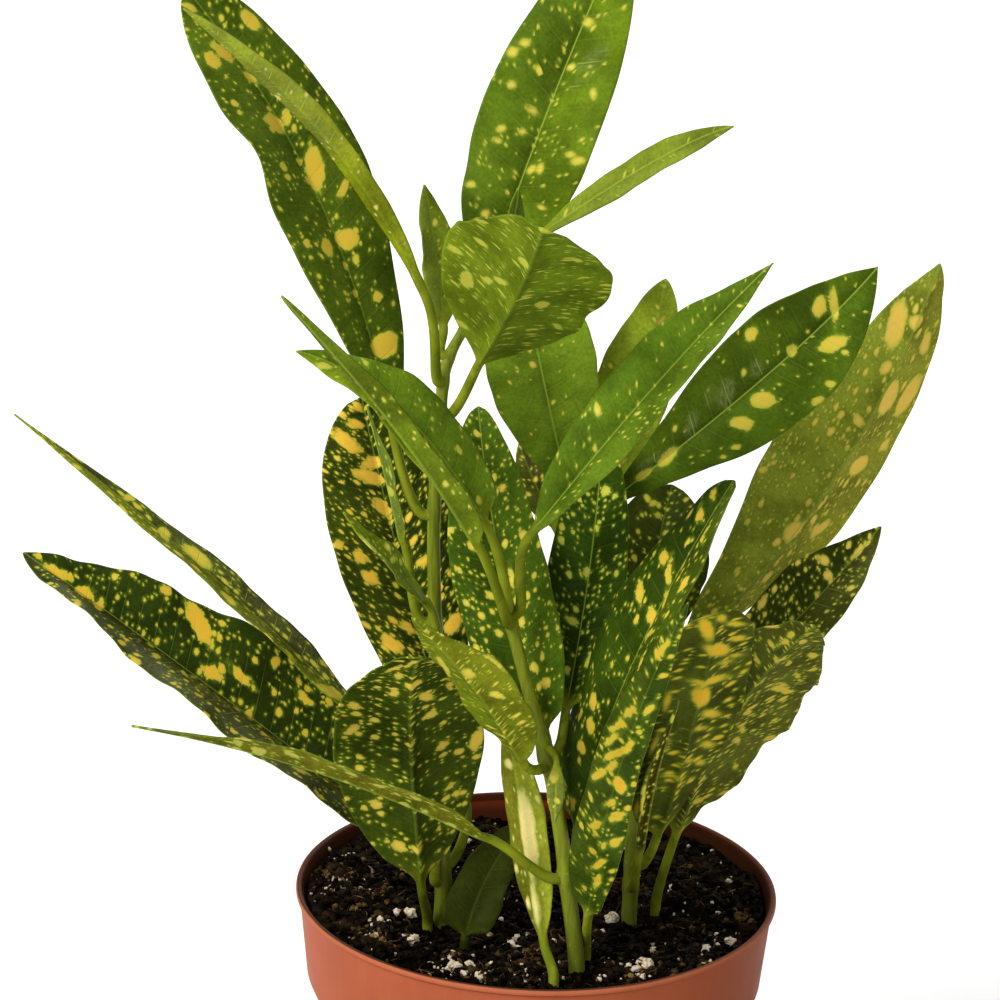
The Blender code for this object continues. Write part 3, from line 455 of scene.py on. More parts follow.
def arc(pulls, t):
    """The point and direction at t, from 0 to 1, on the smooth arc that some points pull."""
    pulls = [np.asarray(p, float) for p in pulls]
    while len(pulls) > 2:
        pulls = [(1 - t) * a + t * b for a, b in zip(pulls, pulls[1:])]
    return (1 - t) * pulls[0] + t * pulls[1], unit(pulls[1] - pulls[0])


def stem_at(stem, height):
    """A stem's centre, direction and radius at a height."""
    path = smooth_path(stem.points, 12)
    i = int(np.argmin(abs(path[:, 2] - height)))
    direction = unit(path[min(i + 1, len(path) - 1)] - path[i - 1])
    radius = np.interp(i, [0, len(path) - 1], [stem.foot_radius, stem.top_radius])
    return path[i], direction, radius


def stalk_path(leaf, base, blade_start, steps):
    """Centre points and directions of a leaf's stalk, from inside its stem to the blade."""
    if leaf.carrier == "soil":
        start = np.array([*leaf.root, STEM_STRAIGHT])
        out = np.array([0.0, 0.0, 1.0])
        lower = [np.array([*leaf.root, z]) for z in np.arange(STEM_BOTTOM, STEM_STRAIGHT, 2)]
    else:
        centre, direction, radius = stem_at(STEMS[leaf.carrier], leaf.root)
        out = across(base - centre, direction)
        start = centre + out * radius
        lower = [centre + out * radius * share for share in (0.2, 0.6)]
    reach = STALK_PULL * np.linalg.norm(base - start)
    pulls = (start, start + out * min(reach, STALK_START), base - blade_start * reach, base)
    return [(point, out) for point in lower] + [arc(pulls, t) for t in np.arange(steps) / steps]


def blade_path(leaf, steps):
    """Centre points and directions along the midrib, a smooth arc through its three points."""
    base, middle, tip = (np.array(p, float) for p in (leaf.base, leaf.middle, leaf.tip))
    bend = 2 * middle - (base + tip) / 2
    return [arc((base, bend, tip), s) for s in np.linspace(0, 1, steps + 1)]


def leaf_faces(points, faces, middle):
    """The upper side's direction at each point, carried along without a twist."""
    ups = [None] * len(points)
    ups[middle] = across(np.array(faces), points[middle][1])
    for i in range(middle + 1, len(points)):
        ups[i] = across(ups[i - 1], points[i][1])
    for i in range(middle - 1, -1, -1):
        ups[i] = across(ups[i + 1], points[i][1])
    return np.array(ups)


def blade_half_width(leaf, s, draw):
    """Half the blade's width at s along it, with a slightly uneven margin."""
    swell = np.sin(math.pi * s ** (math.log(0.5) / math.log(leaf.peak)))
    half = leaf.width / 2 * np.maximum(swell, 0.0) ** leaf.blunt
    uneven = sum(draw.uniform(-1, 1) / k * np.sin(TURN * (k * s + draw.random()))
                 for k in range(3, 9))
    half = half * (1 + MARGIN_UNEVENNESS * uneven)
    return np.maximum(half, STALK_RADIUS * leaf.stalk * (1 - s) + TIP_HALF_WIDTH)


def blade_form(leaf, s, lanes, length, draw):
    """Sideways offsets and upper and lower heights over the blade, and its pattern places."""
    half = blade_half_width(leaf, s, draw)[:, None]
    s, lanes = s[:, None], lanes[None, :]
    opened = np.clip((half - OPEN_FROM) / OPEN_OVER, 0.0, 1.0)
    folds = leaf.fold if isinstance(leaf.fold, tuple) else (leaf.fold, leaf.fold)
    fold = np.radians(np.where(lanes > 0, folds[1], folds[0])) * opened
    shift = np.where(lanes > 0, OTHER_EDGE_SHIFT, 0.0)
    swing = np.sin(TURN * leaf.waves * s + shift)
    ripple = np.sin(TURN * (RIPPLE_RATE * leaf.waves * s + draw.random()) + 2 * shift)
    wave = lanes ** 2 * leaf.wave * (swing + RIPPLE_SHARE * abs(lanes) * ripple)
    puff = PUFF * half * np.sin(math.pi * abs(lanes))
    lift = half * abs(lanes) * np.sin(fold) + opened * (wave + puff)
    edge = half * lanes
    if leaf.notch:
        side, place, depth = leaf.notch
        bite = depth * np.exp(-((s - place) / NOTCH_SPREAD) ** 2)
        edge = edge - lanes * (np.sign(lanes) == side) * bite
    along = length * s + 0 * edge
    vein = (along - VEIN_SLANT * abs(edge)) / VEIN_SPACING + 0.5 * (edge > 0)
    crease = np.maximum(0.0, np.cos(TURN * vein)) ** 3
    crease = crease * opened * np.sin(math.pi * np.clip(abs(lanes), 0, 1)) ** 0.5
    thick = BLADE_MIDDLE_THICKNESS + (BLADE_EDGE_THICKNESS - BLADE_MIDDLE_THICKNESS) * lanes ** 2
    thick = thick / np.cos(fold)
    on_rib = np.exp(-(edge / RIB_WIDTH) ** 2)
    groove = RIB_GROOVE * on_rib * opened * (1 - 0.6 * s)
    rib = STALK_RADIUS * RIB_RISE * leaf.stalk * (1 - s) ** 0.8 * on_rib
    upper = lift + thick / 2 - groove - VEIN_DEPTH * crease
    lower = lift - thick / 2 - rib - VEIN_DEPTH * crease
    return edge * np.cos(fold), upper, lower, edge, along


def leaf_rings(leaf, draw):
    """Rings of points round a leaf from its stalk's foot to its tip, and their pattern places.

    A place holds millimetres across the blade and along it, and how near the margin it is.
    """
    length = np.linalg.norm(np.subtract(leaf.middle, leaf.base))
    length += np.linalg.norm(np.subtract(leaf.tip, leaf.middle))
    steps = max(16, round(length / BLADE_STEP))
    lanes = np.linspace(-1, 1, 2 * max(4, round(leaf.width / 2 / LANE_STEP)) + 1)
    s = np.linspace(0, 1, steps + 1)
    blade = blade_path(leaf, steps)
    stalk = stalk_path(leaf, *blade[0], max(8, round(length / 5)))
    points = stalk + blade
    ups = leaf_faces(points, leaf.faces, len(stalk) + steps // 2)
    centres = np.array([p for p, _ in points])
    sides = np.cross(np.array([d for _, d in points]), ups)
    sideways, upper, lower, edge, along = blade_form(leaf, s, lanes, length, draw)
    angles = math.pi * (1 - (np.arange(len(lanes)) + 0.5) / len(lanes))
    round_side = STALK_RADIUS * leaf.stalk * np.cos(angles)
    round_up = STALK_RADIUS * leaf.stalk * np.sin(angles)
    opening = smooth_step(s, 0.0, BLADE_OPENS_WITHIN)[:, None]
    foot = np.linspace(STALK_FOOT_SWELL, 1.0, len(stalk))[:, None]

    def whole(stalk_offset, blade_offset):
        opened = stalk_offset + (blade_offset - stalk_offset) * opening
        return np.vstack([stalk_offset * foot, opened])

    side_all = whole(round_side, sideways)
    offsets_side = np.hstack([side_all, side_all[:, ::-1]])
    offsets_up = np.hstack([whole(round_up, upper), whole(-round_up, lower)[:, ::-1]])
    rings = (centres[:, None] + offsets_side[..., None] * sides[:, None]
             + offsets_up[..., None] * ups[:, None])
    flat = np.zeros((len(stalk), len(lanes)))
    stalk_length = np.linspace(-10.0, 0.0, len(stalk), endpoint=False)[:, None]
    places = np.stack([np.vstack([flat + round_side, edge]),
                       np.vstack([flat + stalk_length, along]),
                       np.vstack([flat, abs(lanes) + 0 * edge])], -1)
    return rings, np.concatenate([places, places[:, ::-1]], 1), len(stalk)


def skin(rings):
    """Quads of a closed skin over rings of points, with strips across both ends."""
    count, size = rings.shape[:2]
    faces = []
    for row in range(0, (count - 1) * size, size):
        for j in range(size):
            nxt = (j + 1) % size
            faces.append((row + j, row + nxt, row + size + nxt, row + size + j))
    last = (count - 1) * size
    for j in range(size // 2 - 1):
        for start, turn in ((0, -1), (last, 1)):
            quad = (start + j, start + j + 1, start + size - 2 - j, start + size - 1 - j)
            faces.append(quad[::turn])
    return faces


def blotches_on(leaf, coat, length, draw):
    """A leaf's blotches: the listed ones, and others where there is room between them."""
    found = [(*spot, math.radians(turn)) for *spot, turn in BLOTCHES.get(leaf.name, [])]
    listed = list(found)
    for _ in range(int(leaf.width * length * BLOTCHES_PER_AREA * coat.dots)):
        x = draw.uniform(-0.5, 0.5) * leaf.width
        y = draw.uniform(0.05, 0.95) * length
        size = draw.uniform(0.7, 1.0 + 0.02 * leaf.width)
        turn = draw.normal(0, 0.4) + (math.pi / 2 if coat.stretch < 1 else 0)
        if all(math.hypot(x - other[0], y - other[1]) > BLOTCH_CLEARANCE for other in listed):
            found.append((x, y, size, size * draw.uniform(0.45, 0.8), turn))
    return found


def ellipse_reach(places, x, y, long_radius, short_radius, turn):
    """How far out each place is from an ellipse's middle: 1 at its edge."""
    dx, dy = places[..., 0] - x, places[..., 1] - y
    return np.hypot((dx * math.cos(turn) + dy * math.sin(turn)) / long_radius,
                    (dy * math.cos(turn) - dx * math.sin(turn)) / short_radius)


def blotch_field(places, blotches):
    """How far inside the nearest blotch each place is, in millimetres, negative outside."""
    field = np.full(places.shape[:2], FAR_FROM_BLOTCHES)
    for blotch in blotches:
        field = np.maximum(field, (1 - ellipse_reach(places, *blotch)) * blotch[3])
    return field


def bloom_field(leaf, places):
    """How strong the painted sheen is at each place."""
    field = np.zeros(places.shape[:2])
    for *spot, turn, strength in SHEEN_PATCHES.get(leaf.name, []):
        reach = ellipse_reach(places, *spot, math.radians(turn))
        field = np.maximum(field, strength * smooth_step(reach, 1.1, 0.6))
    return field


def new_object(name, data):
    obj = bpy.data.objects.new(name, data)
    bpy.context.scene.collection.objects.link(obj)
    return obj


def mesh_object(name, points, faces, material, smooth=True):
    """A piece from points in millimetres, closed and facing out, that rides on the plant."""
    mesh = bpy.data.meshes.new(name)
    mesh.from_pydata((np.asarray(points).reshape(-1, 3) * MM).tolist(), [], faces)
    mesh.validate()
    if smooth:
        mesh.shade_smooth()
    mesh.materials.append(material)
    obj = new_object(name, mesh)
    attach(obj, "root")
    return obj


def give(mesh, **fields):
    """Writes each field's values, one for each point, for the materials to read."""
    for name, values in fields.items():
        kind, part = ('FLOAT_VECTOR', "vector") if values.ndim == 3 else ('FLOAT', "value")
        layer = mesh.attributes.new(name, kind, 'POINT')
        layer.data.foreach_set(part, values.astype(np.float32).ravel())


def add_leaf(leaf, number):
    """A finer leaf in the place of the frame's."""
    draw = np.random.default_rng(100 + number)
    rings, places, stalk_count = leaf_rings(leaf, draw)
    coat = Coat(*COATS[leaf.name])
    material = leaf_material(leaf.name, coat, leaf.faces[1] < 0)
    obj = mesh_object(f"{leaf.name}_fine", rings, skin(rings), material)
    under = np.zeros(rings.shape[:2])
    under[:, rings.shape[1] // 2:] = 1.0
    stalk = np.ones(rings.shape[:2])
    stalk[stalk_count:] = 1 - smooth_step(places[stalk_count:, :, 1], 0.5, 5.0)
    blotches = blotches_on(leaf, coat, places[-1, 0, 1], draw)
    shift = 40.0 * number
    rise = places[..., 1] - coat.lean * abs(places[..., 0])
    drawn = coat.stretch ** 0.5
    grain = np.stack([places[..., 0] / drawn + shift, rise * drawn + shift, 0 * rise], -1)
    give(obj.data, place=places, grain=grain, under=under, stalk=stalk,
         blotch=blotch_field(places, blotches), bloom=bloom_field(leaf, places))
    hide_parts(leaf.name)


class Value:
    """A value inside a material, with the usual sums."""

    def __init__(self, graph, socket):
        self.graph = graph
        self.socket = socket

    def also(self, output):
        """Another output of the same node."""
        return Value(self.graph, self.socket.node.outputs[output])

    def __add__(self, other):
        return self.graph.math('ADD', self, other)

    def __sub__(self, other):
        return self.graph.math('SUBTRACT', self, other)

    def __mul__(self, other):
        return self.graph.math('MULTIPLY', self, other)

    def __truediv__(self, other):
        return self.graph.math('DIVIDE', self, other)

    def __abs__(self):
        return self.graph.math('ABSOLUTE', self)


class Graph:
    """Builds a material. An input may be a value, a number or a colour."""

    def __init__(self, name):
        self.material = bpy.data.materials.new(name)
        self.material.use_nodes = True
        self.tree = self.material.node_tree
        self.place = self.node("TexCoord", "Object", {})

    def put(self, socket, value):
        if isinstance(value, Value):
            self.tree.links.new(value.socket, socket)
        elif isinstance(value, tuple) and socket.type == 'RGBA':
            socket.default_value = (*value, 1.0)
        else:
            socket.default_value = value

    def node(self, kind, output, inputs, **settings):
        """Adds a node, fills its inputs by name or number, and gives one of its outputs."""
        node = self.tree.nodes.new(f"ShaderNode{kind}")
        for name, value in settings.items():
            setattr(node, name, value)
        for name, value in inputs.items():
            self.put(node.inputs[name], value)
        return Value(self, node.outputs[output])

    def attribute(self, name, output="Fac"):
        return self.node("Attribute", output, {}, attribute_name=name)

    def math(self, operation, a, b=0.0):
        return self.node("Math", 0, {0: a, 1: b}, operation=operation)

    def vector(self, operation, a, b):
        return self.node("VectorMath", 0, {0: a, 1: b}, operation=operation)

    def split(self, vector):
        x = self.node("SeparateXYZ", "X", {"Vector": vector})
        return x, x.also("Y"), x.also("Z")

    def brighter(self, colour, factor):
        """A colour times a factor."""
        return self.node("VectorMath", 0, {0: colour, "Scale": factor}, operation='SCALE')

    def darkened(self, share, colour, factor):
        """A colour with its darker self laid over it by a share."""
        return self.mix(share, colour, self.brighter(colour, factor))

    def fade(self, value, low, high, start=0.0, end=1.0):
        """Goes smoothly from start to end as a value goes from low to high."""
        return self.node("MapRange", "Result",
                         {"Value": value, "From Min": low, "From Max": high, "To Min": start,
                          "To Max": end}, interpolation_type='SMOOTHSTEP', clamp=True)

    def mix(self, share, a, b):
        """One colour laid over another by a share from 0 to 1."""
        return self.node("Mix", 2, {"Factor": share, 6: a, 7: b}, data_type='RGBA')

    def noise(self, vector, scale, detail=2.0, roughness=0.5, output="Fac"):
        return self.node("TexNoise", output, {"Vector": vector, "Scale": scale,
                                              "Detail": detail, "Roughness": roughness})

    def dots(self, vector, cell, share, smallest, largest):
        """How far inside the nearest round dot each place is, in millimetres.

        A share of the cells holds a dot, and most dots are near the smallest radius.
        """
        away = self.node("TexVoronoi", "Distance", {"Vector": vector, "Scale": 1 / cell,
                                                    "Randomness": 0.85},
                         voronoi_dimensions='2D')
        pick = self.node("SeparateColor", "Red", {"Color": away.also("Color")})
        above = (pick - self.math('SUBTRACT', 1.0, share)) / share
        held = self.math('GREATER_THAN', above, 0.0)
        radius = (above * above * (largest - smallest) + (smallest + 1.0)) * held
        return radius - 1.0 - away * cell

    def bump(self, height, distance, strength):
        return self.node("Bump", "Normal",
                         {"Height": height, "Distance": distance, "Strength": strength})

    def finish(self, colour, roughness, normal=None, specular=0.5, tint=(1.0, 1.0, 1.0)):
        """The finished material. Shine and its tint are constants, set directly."""
        shader = self.tree.nodes["Principled BSDF"].inputs
        self.put(shader["Base Color"], colour)
        self.put(shader["Roughness"], roughness)
        shader["Specular IOR Level"].default_value = specular
        shader["Specular Tint"].default_value = (*tint, 1.0)
        if normal:
            self.put(shader["Normal"], normal)
        return self.material


def leaf_green(g, coat, upper_shows, fine, under, x, vein, valley_shade):
    """A leaf's green under its marks: its halves in painted light and shade, and painted shade
    beside the midrib, in its grooves and between the veins.
    """
    # The two halves' greens differ by painted light and shade.
    minus, plus = (tuple(part / 1000 for part in half) for half in (coat.minus, coat.plus))
    best = g.mix(g.fade(x, -0.3, 0.3), minus, plus)
    other = UNDER_GREEN if upper_shows else UPPER_GREEN
    green = g.mix(under, best, other) if upper_shows else g.mix(under, other, best)
    clouds = g.noise(g.place, 95.0, 3.0)
    green = g.mix(g.fade(clouds, 0.32, 0.68), g.brighter(green, 0.70), g.brighter(green, 1.30))
    green = g.mix(g.fade(fine, 0.30, 0.72), g.brighter(green, 0.84), g.brighter(green, 1.18))
    green = g.mix(vein * (0.05 + 0.12 * coat.rib), green, PALE_RIB)
    # Painted shade: in the valleys between the veins, in a band beside the midrib and in the
    # grooves along it.
    green = g.darkened(valley_shade, green, 0.55)
    green = g.darkened(g.fade(abs(x), 3.8, 0.6, 0.0, 0.5) * coat.rib, green, 0.65)
    groove = g.fade(abs(abs(x) - 0.55), 0.35, 0.0, 0.0, 0.4)
    return g.darkened(groove * coat.rib, green, 0.45)


def inside_marks(g, coat, grain, fine):
    """How far inside a blotch, a dot or a speck of dust each place of a leaf is."""
    swirl = g.vector('MULTIPLY', g.noise(grain, 0.6, output="Color"), (0.9, 0.9, 0.0))
    warped = g.vector('ADD', grain, g.vector('SUBTRACT', swirl, (0.45, 0.45, 0.0)))
    crowd = g.fade(g.noise(grain, 0.08, 1.0), 0.35, 0.65, 0.5, 1.25)
    dots = g.dots(warped, 2.9, crowd * (0.75 * coat.dots), 0.36, 0.95)
    dust = g.dots(warped, 1.35, crowd * (0.75 * coat.dust), 0.12, 0.36)
    ragged = (g.noise(grain, 0.5, 2.5, 0.55) - 0.5) * (1.7 / coat.soft)
    blotch = g.attribute("blotch") + ragged + 0.12
    inside = g.math('MAXIMUM', g.math('MAXIMUM', dots, dust), blotch)
    return inside + (fine - 0.5) * 0.25


def leaf_material(name, coat, upper_shows):
    """A leaf's two sides, its stalk and ribs, and its gold blotches, dots and dust."""
    g = Graph(name)
    x, y, nearness = g.split(g.attribute("place", "Vector"))
    grain = g.attribute("grain", "Vector")
    under = g.attribute("under")
    fine = g.noise(g.place, 1300.0, 3.0, 0.6)

    turns = (y - abs(x) * VEIN_SLANT) / VEIN_SPACING + g.math('GREATER_THAN', x, 0.0) * 0.5
    from_vein = abs(g.math('FRACT', turns) - 0.5)
    within = g.fade(nearness, 0.95, 0.3)
    vein = g.fade(from_vein, 0.462, 0.495) * within
    valley_shade = g.fade(abs(from_vein - 0.40), 0.09, 0.0, 0.0, 0.22) * within
    green = leaf_green(g, coat, upper_shows, fine, under, x, vein, valley_shade)

    inside = inside_marks(g, coat, grain, fine)
    marks = tuple(part / 1000 for part in coat.marks)
    gold = g.mix(g.fade(fine, 0.35, 0.75, 0.0, 0.12), marks, LIME)
    soft = 0.17 * coat.soft
    spotted = g.mix(g.fade(inside, -0.45 - 1.3 * soft, 0.0, 0.0, 0.5), green, HALO)
    spotted = g.mix(g.fade(inside, -soft, soft), spotted, g.mix(0.5, LIME, marks))
    spotted = g.mix(g.fade(inside, 0.15, 0.45 + soft), spotted, gold)

    # Painted sheen: a reflection painted as paler grey streaks between the veins, and as a
    # highlight on the veins, where the sheen patches lie.
    bloom = g.attribute("bloom")
    streaks = g.noise(g.vector('MULTIPLY', grain, (0.45, 1.5, 1.0)), 1.5, 4.0, 0.75)
    spotted = g.mix(g.fade(streaks, 0.40, 0.66, 0.1, 1.0) * bloom, spotted, SHEEN_GREY)
    spotted = g.mix(vein * g.fade(bloom, 0.05, 0.3, 0.0, 0.6), spotted, PALE_RIB)

    rib = g.fade(abs(x), under * 0.4 + 0.22, 0.07)
    spotted = g.mix(rib * coat.rib, spotted, PALE_RIB)
    spotted = g.mix(g.fade(nearness, 0.97, 1.0) * 0.10, spotted, LIME)
    stalk_green = g.mix(g.fade(g.noise(grain, 0.3), 0.35, 0.7), STALK_GREEN, STALK_SHADE)
    # Painted shade on the stalks that sit low in the plant.
    stalk_green = g.brighter(stalk_green, STALKS_IN_PAINTED_SHADE.get(name, 1.0))
    coloured = g.mix(g.attribute("stalk"), spotted, stalk_green)

    roughness = g.fade(fine + under * 0.7, 0.2, 1.2, 0.36, 0.80)
    relief = g.bump(fine * 0.06 + vein * -0.10, MM, 0.6)
    return g.finish(coloured, roughness, relief, 0.07 if upper_shows else 0.03, GLOSS_TINT)


def stem_material():
    """Green stems with fine lengthwise streaks, darker and browner near the soil."""
    g = Graph("stem_green")
    streaks = g.noise(g.vector('MULTIPLY', g.place, (1.0, 1.0, 0.12)), 900.0, 3.0)
    colour = g.mix(g.fade(streaks, 0.3, 0.7), STALK_SHADE, STALK_GREEN)
    low = g.fade(g.split(g.place)[2], 0.118, 0.088)
    colour = g.mix(low * 0.55, colour, (0.06, 0.075, 0.01))
    colour = g.mix(g.fade(g.noise(g.place, 1400.0), 0.66, 0.74, 0.0, 0.5), colour, LIME)
    return g.finish(colour, 0.42, g.bump(streaks, MM * 0.2, 0.5), 0.12)


def circle(centre, radius, side, other, angles):
    return [centre + radius * (math.cos(a) * side + math.sin(a) * other) for a in angles]


def add_stem(name, stem, material, joints):
    """A finer stem, swollen where each leaf's stalk leaves it."""
    path = smooth_path(stem.points, 14)
    along = np.array([unit(v) for v in np.gradient(path, axis=0)])
    radii = np.linspace(stem.foot_radius, stem.top_radius, len(path))
    for height in joints:
        radii = radii * (1 + NODE_SWELL * np.exp(-((path[:, 2] - height) / NODE_REACH) ** 2))
    angles = TURN * (np.arange(STEM_SIDES) + 0.5) / STEM_SIDES
    side = np.array([1.0, 0.0, 0.0])
    rings = []
    for point, direction, radius in zip(path, along, radii):
        side = across(side, direction)
        rings.append(circle(point, radius, side, np.cross(direction, side), angles))
    top = np.array(rings[-1])
    for share, rise in STEM_CAP:
        centre = top.mean(0) + along[-1] * rise * stem.top_radius
        rings.append(centre + (top - top.mean(0)) * share)
    rings = np.array(rings)
    obj = mesh_object(f"{name}_fine", rings, skin(rings), material)
    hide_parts(name)


def turned(profile, sides):
    """Points and faces of an outline turned about Z. Its two ends lie on the axis."""
    inner = profile[1:-1]
    points = [(0.0, 0.0, profile[0][1])]
    for angle in TURN * np.arange(sides) / sides:
        points += [(r * math.cos(angle), r * math.sin(angle), z) for r, z in inner]
    points.append((0.0, 0.0, profile[-1][1]))
    faces = []
    size = len(inner)
    for k in range(sides):
        here = 1 + k * size
        there = 1 + (k + 1) % sides * size
        faces.append((0, there, here))
        faces += [(here + i, there + i, there + i + 1, here + i + 1) for i in range(size - 1)]
        faces.append((len(points) - 1, here + size - 1, there + size - 1))
    return points, faces


def rounded(corners, radius, steps=4):
    """An outline with each of its inner corners rounded."""
    outline = [corners[0]]
    for before, corner, after in zip(corners, corners[1:], corners[2:]):
        towards = [np.subtract(p, corner) for p in (before, after)]
        reach = min([radius] + [0.45 * np.linalg.norm(t) for t in towards])
        start, end = (np.add(corner, unit(t) * reach) for t in towards)
        outline += [tuple(arc((start, corner, end), t)[0]) for t in np.linspace(0, 1, steps)]
    outline.append(corners[-1])
    return outline


def pot_profile():
    lip = POT_HEIGHT - LIP_THICKNESS
    outside = [(0.0, 0.0), (BASE_RADIUS, 0.0), (SHOULDER_RADIUS, SHOULDER),
               (COLLAR_BOTTOM_RADIUS, COLLAR), (COLLAR_TOP_RADIUS, lip), (RIM_RADIUS, lip),
               (RIM_RADIUS, POT_HEIGHT)]
    inside = [(RIM_RADIUS - LIP_TOP_WIDTH, POT_HEIGHT), (COLLAR_TOP_RADIUS - WALL, lip),
              (COLLAR_BOTTOM_RADIUS - WALL, COLLAR), (SHOULDER_RADIUS - WALL, SHOULDER),
              (BASE_RADIUS - WALL, FLOOR), (0.0, FLOOR)]
    return rounded(outside + inside, CORNER_ROUNDING)


def pot_material():
    """Moulded terracotta plastic: faint mottling, a lip painted paler as a highlight, the right
    side and the inside painted darker as shade, the inside's back painted lighter as lit, and
    darker still below the rim and on the rim's inner edge.
    """
    g = Graph("terracotta_plastic")
    x, y, z = g.split(g.place)
    mottle = g.noise(g.place, 55.0, 4.0)
    colour = g.mix(g.fade(mottle, 0.3, 0.7), (0.290, 0.068, 0.028), (0.340, 0.084, 0.036))
    brushed = g.noise(g.vector('MULTIPLY', g.place, (1.0, 1.0, 0.08)), 420.0)
    colour = g.mix(g.fade(brushed, 0.45, 0.75, 0.0, 0.14), colour, (0.40, 0.105, 0.045))
    # Painted shade: the right side of the pot is darker.
    painted_right_shade = g.fade(x + mottle * 0.02, 0.020, 0.062, 0.0, 0.7)
    colour = g.mix(painted_right_shade, colour, (0.150, 0.030, 0.005))
    from_axis = g.math('SQRT', x * x + y * y)
    # A painted highlight: the top of the lip is paler.
    lip = g.fade(from_axis, (RIM_RADIUS - 0.9) * MM, (RIM_RADIUS - 0.2) * MM)
    lip = lip * g.fade(z, (POT_HEIGHT - 1.2) * MM, (POT_HEIGHT - 0.3) * MM)
    colour = g.mix(lip * 0.35, colour, (0.44, 0.15, 0.07))

    # The middle of the collar's wall parts inside from outside. Below the collar the body is
    # narrower than that line, so its outside takes the dark colours of the inside too.
    slope = (COLLAR_TOP_RADIUS - COLLAR_BOTTOM_RADIUS) / (POT_HEIGHT - COLLAR)
    wall_middle = z * slope + (COLLAR_TOP_RADIUS - WALL / 2 - slope * POT_HEIGHT) * MM
    inner = g.math('LESS_THAN', from_axis, wall_middle)
    # Painted shade on the inside wall, with its back painted lighter and redder as lit.
    back = g.fade(abs(x), 0.030, 0.012) * g.fade(y, 0.0, 0.02)
    wall = g.mix(back, (0.035, 0.010, 0.004), (0.26, 0.040, 0.012))
    colour = g.mix(inner * 0.92, colour, wall)
    # Darker still on the inside, below the rim.
    darker_share = g.fade(z + mottle * 0.004, 0.0935, 0.0885)
    colour = g.mix(inner * darker_share * 0.85, colour, (0.040, 0.016, 0.006))
    edge = g.fade(from_axis + mottle * 0.0005, 0.05415, 0.0538) * g.fade(z, 0.0900, 0.0908)
    edge = edge * g.fade(x, 0.045, 0.010, 0.7, 0.92)
    colour = g.mix(edge, colour, (0.035, 0.011, 0.004))
    roughness = g.fade(mottle, 0.2, 0.8, 0.42, 0.58)
    relief = g.bump(g.noise(g.place, 1500.0, 3.0), MM * 0.1, 0.35)
    return g.finish(colour, roughness, relief, 0.04, (1.0, 0.45, 0.25))


def add_pot():
    points, faces = turned(pot_profile(), POT_SIDES)
    obj = mesh_object("pot_fine", points, faces, pot_material())
    obj.data.set_sharp_from_angle(angle=math.radians(50))
    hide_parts("pot")


def inside_radius(height):
    """The radius of the pot's inside at a height."""
    heights = [FLOOR, SHOULDER, COLLAR, POT_HEIGHT]
    radii = [BASE_RADIUS, SHOULDER_RADIUS, COLLAR_BOTTOM_RADIUS, COLLAR_TOP_RADIUS]
    return float(np.interp(height, heights, radii)) - WALL


def soil_height(x, y):
    """The soil's uneven top: lumps of a few sizes, on a formula, and banks to both sides."""
    waves = ((0.11, 0.7, 1.1), (0.23, 2.1, 0.8), (0.41, 4.0, 0.55), (0.83, 1.3, 0.35))
    height = SOIL_TOP + 0 * x
    for rate, turn, size in waves:
        u = x * math.cos(turn) + y * math.sin(turn)
        v = y * math.cos(turn) - x * math.sin(turn)
        height = height + size * np.sin(rate * u + turn) * np.cos(rate * 1.3 * v)
    right_bank = RIGHT_BANK * smooth_step(x, 18.0, 44.0) * smooth_step(y, -14.0, 10.0)
    return height + SOIL_BANK * smooth_step(-x, 10.0, 48.0) + right_bank


def add_soil(material):
    """The soil's plug with a finely uneven top."""
    draw = np.random.default_rng(7)
    angles = TURN * np.arange(SOIL_SIDES) / SOIL_SIDES
    circles = []
    for radius in (inside_radius(SOIL_TOP) - SOIL_GAP) * np.arange(1, SOIL_RINGS + 1) / SOIL_RINGS:
        x, y = radius * np.cos(angles), radius * np.sin(angles)
        circles.append(np.stack([x, y, soil_height(x, y) + draw.normal(0, GRIT, SOIL_SIDES)], -1))
    for z in (COLLAR, SHOULDER, FLOOR + SOIL_GAP):
        radius = inside_radius(z) - SOIL_GAP
        circles.append(np.stack([radius * np.cos(angles), radius * np.sin(angles),
                                 np.full(SOIL_SIDES, z)], -1))
    middle = (0.0, 0.0, float(soil_height(np.array(0.0), np.array(0.0))))
    points = np.vstack([[middle]] + circles + [[(0.0, 0.0, FLOOR + SOIL_GAP)]])
    faces = []
    last = 1 + (len(circles) - 1) * SOIL_SIDES
    for j in range(SOIL_SIDES):
        nxt = (j + 1) % SOIL_SIDES
        faces.append((0, 1 + j, 1 + nxt))
        for low in range(1, last, SOIL_SIDES):
            high = low + SOIL_SIDES
            faces.append((low + j, high + j, high + nxt, low + nxt))
        faces.append((len(points) - 1, last + nxt, last + j))
    obj = mesh_object("soil_fine", points, faces, material)
    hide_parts("soil")


def soil_material(name, deep, light):
    """Dark moist peat and bark, with a little shine."""
    g = Graph(name)
    clumps = g.noise(g.place, 700.0, 4.0, 0.65)
    large = g.noise(g.place, 700.0 / 6, 3.0)
    colour = g.mix(g.fade(clumps, 0.48, 0.75), deep, light)
    colour = g.mix(g.fade(large, 0.52, 0.72, 0.0, 0.6), colour, tuple(2.0 * c for c in light))
    roughness = g.fade(large, 0.35, 0.65, 0.45, 0.8)
    return g.finish(colour, roughness, g.bump(clumps, MM * 0.6, 0.8), 0.015, (1.0, 0.75, 0.5))


def pale_material():
    """Chalky white volcanic grains with small dark pits and a little soil on them."""
    g = Graph("pale_grain")
    pits = g.noise(g.place, 1300.0, 4.0, 0.7)
    colour = g.mix(g.fade(pits, 0.52, 0.36), (0.66, 0.56, 0.40), (0.22, 0.15, 0.09))
    darker_share = g.fade(g.noise(g.place, 260.0), 0.55, 0.7, 0.0, 0.6)
    colour = g.mix(darker_share, colour, (0.10, 0.06, 0.035))
    return g.finish(colour, 0.9, g.bump(pits, MM * 0.4, 0.8), 0.2)


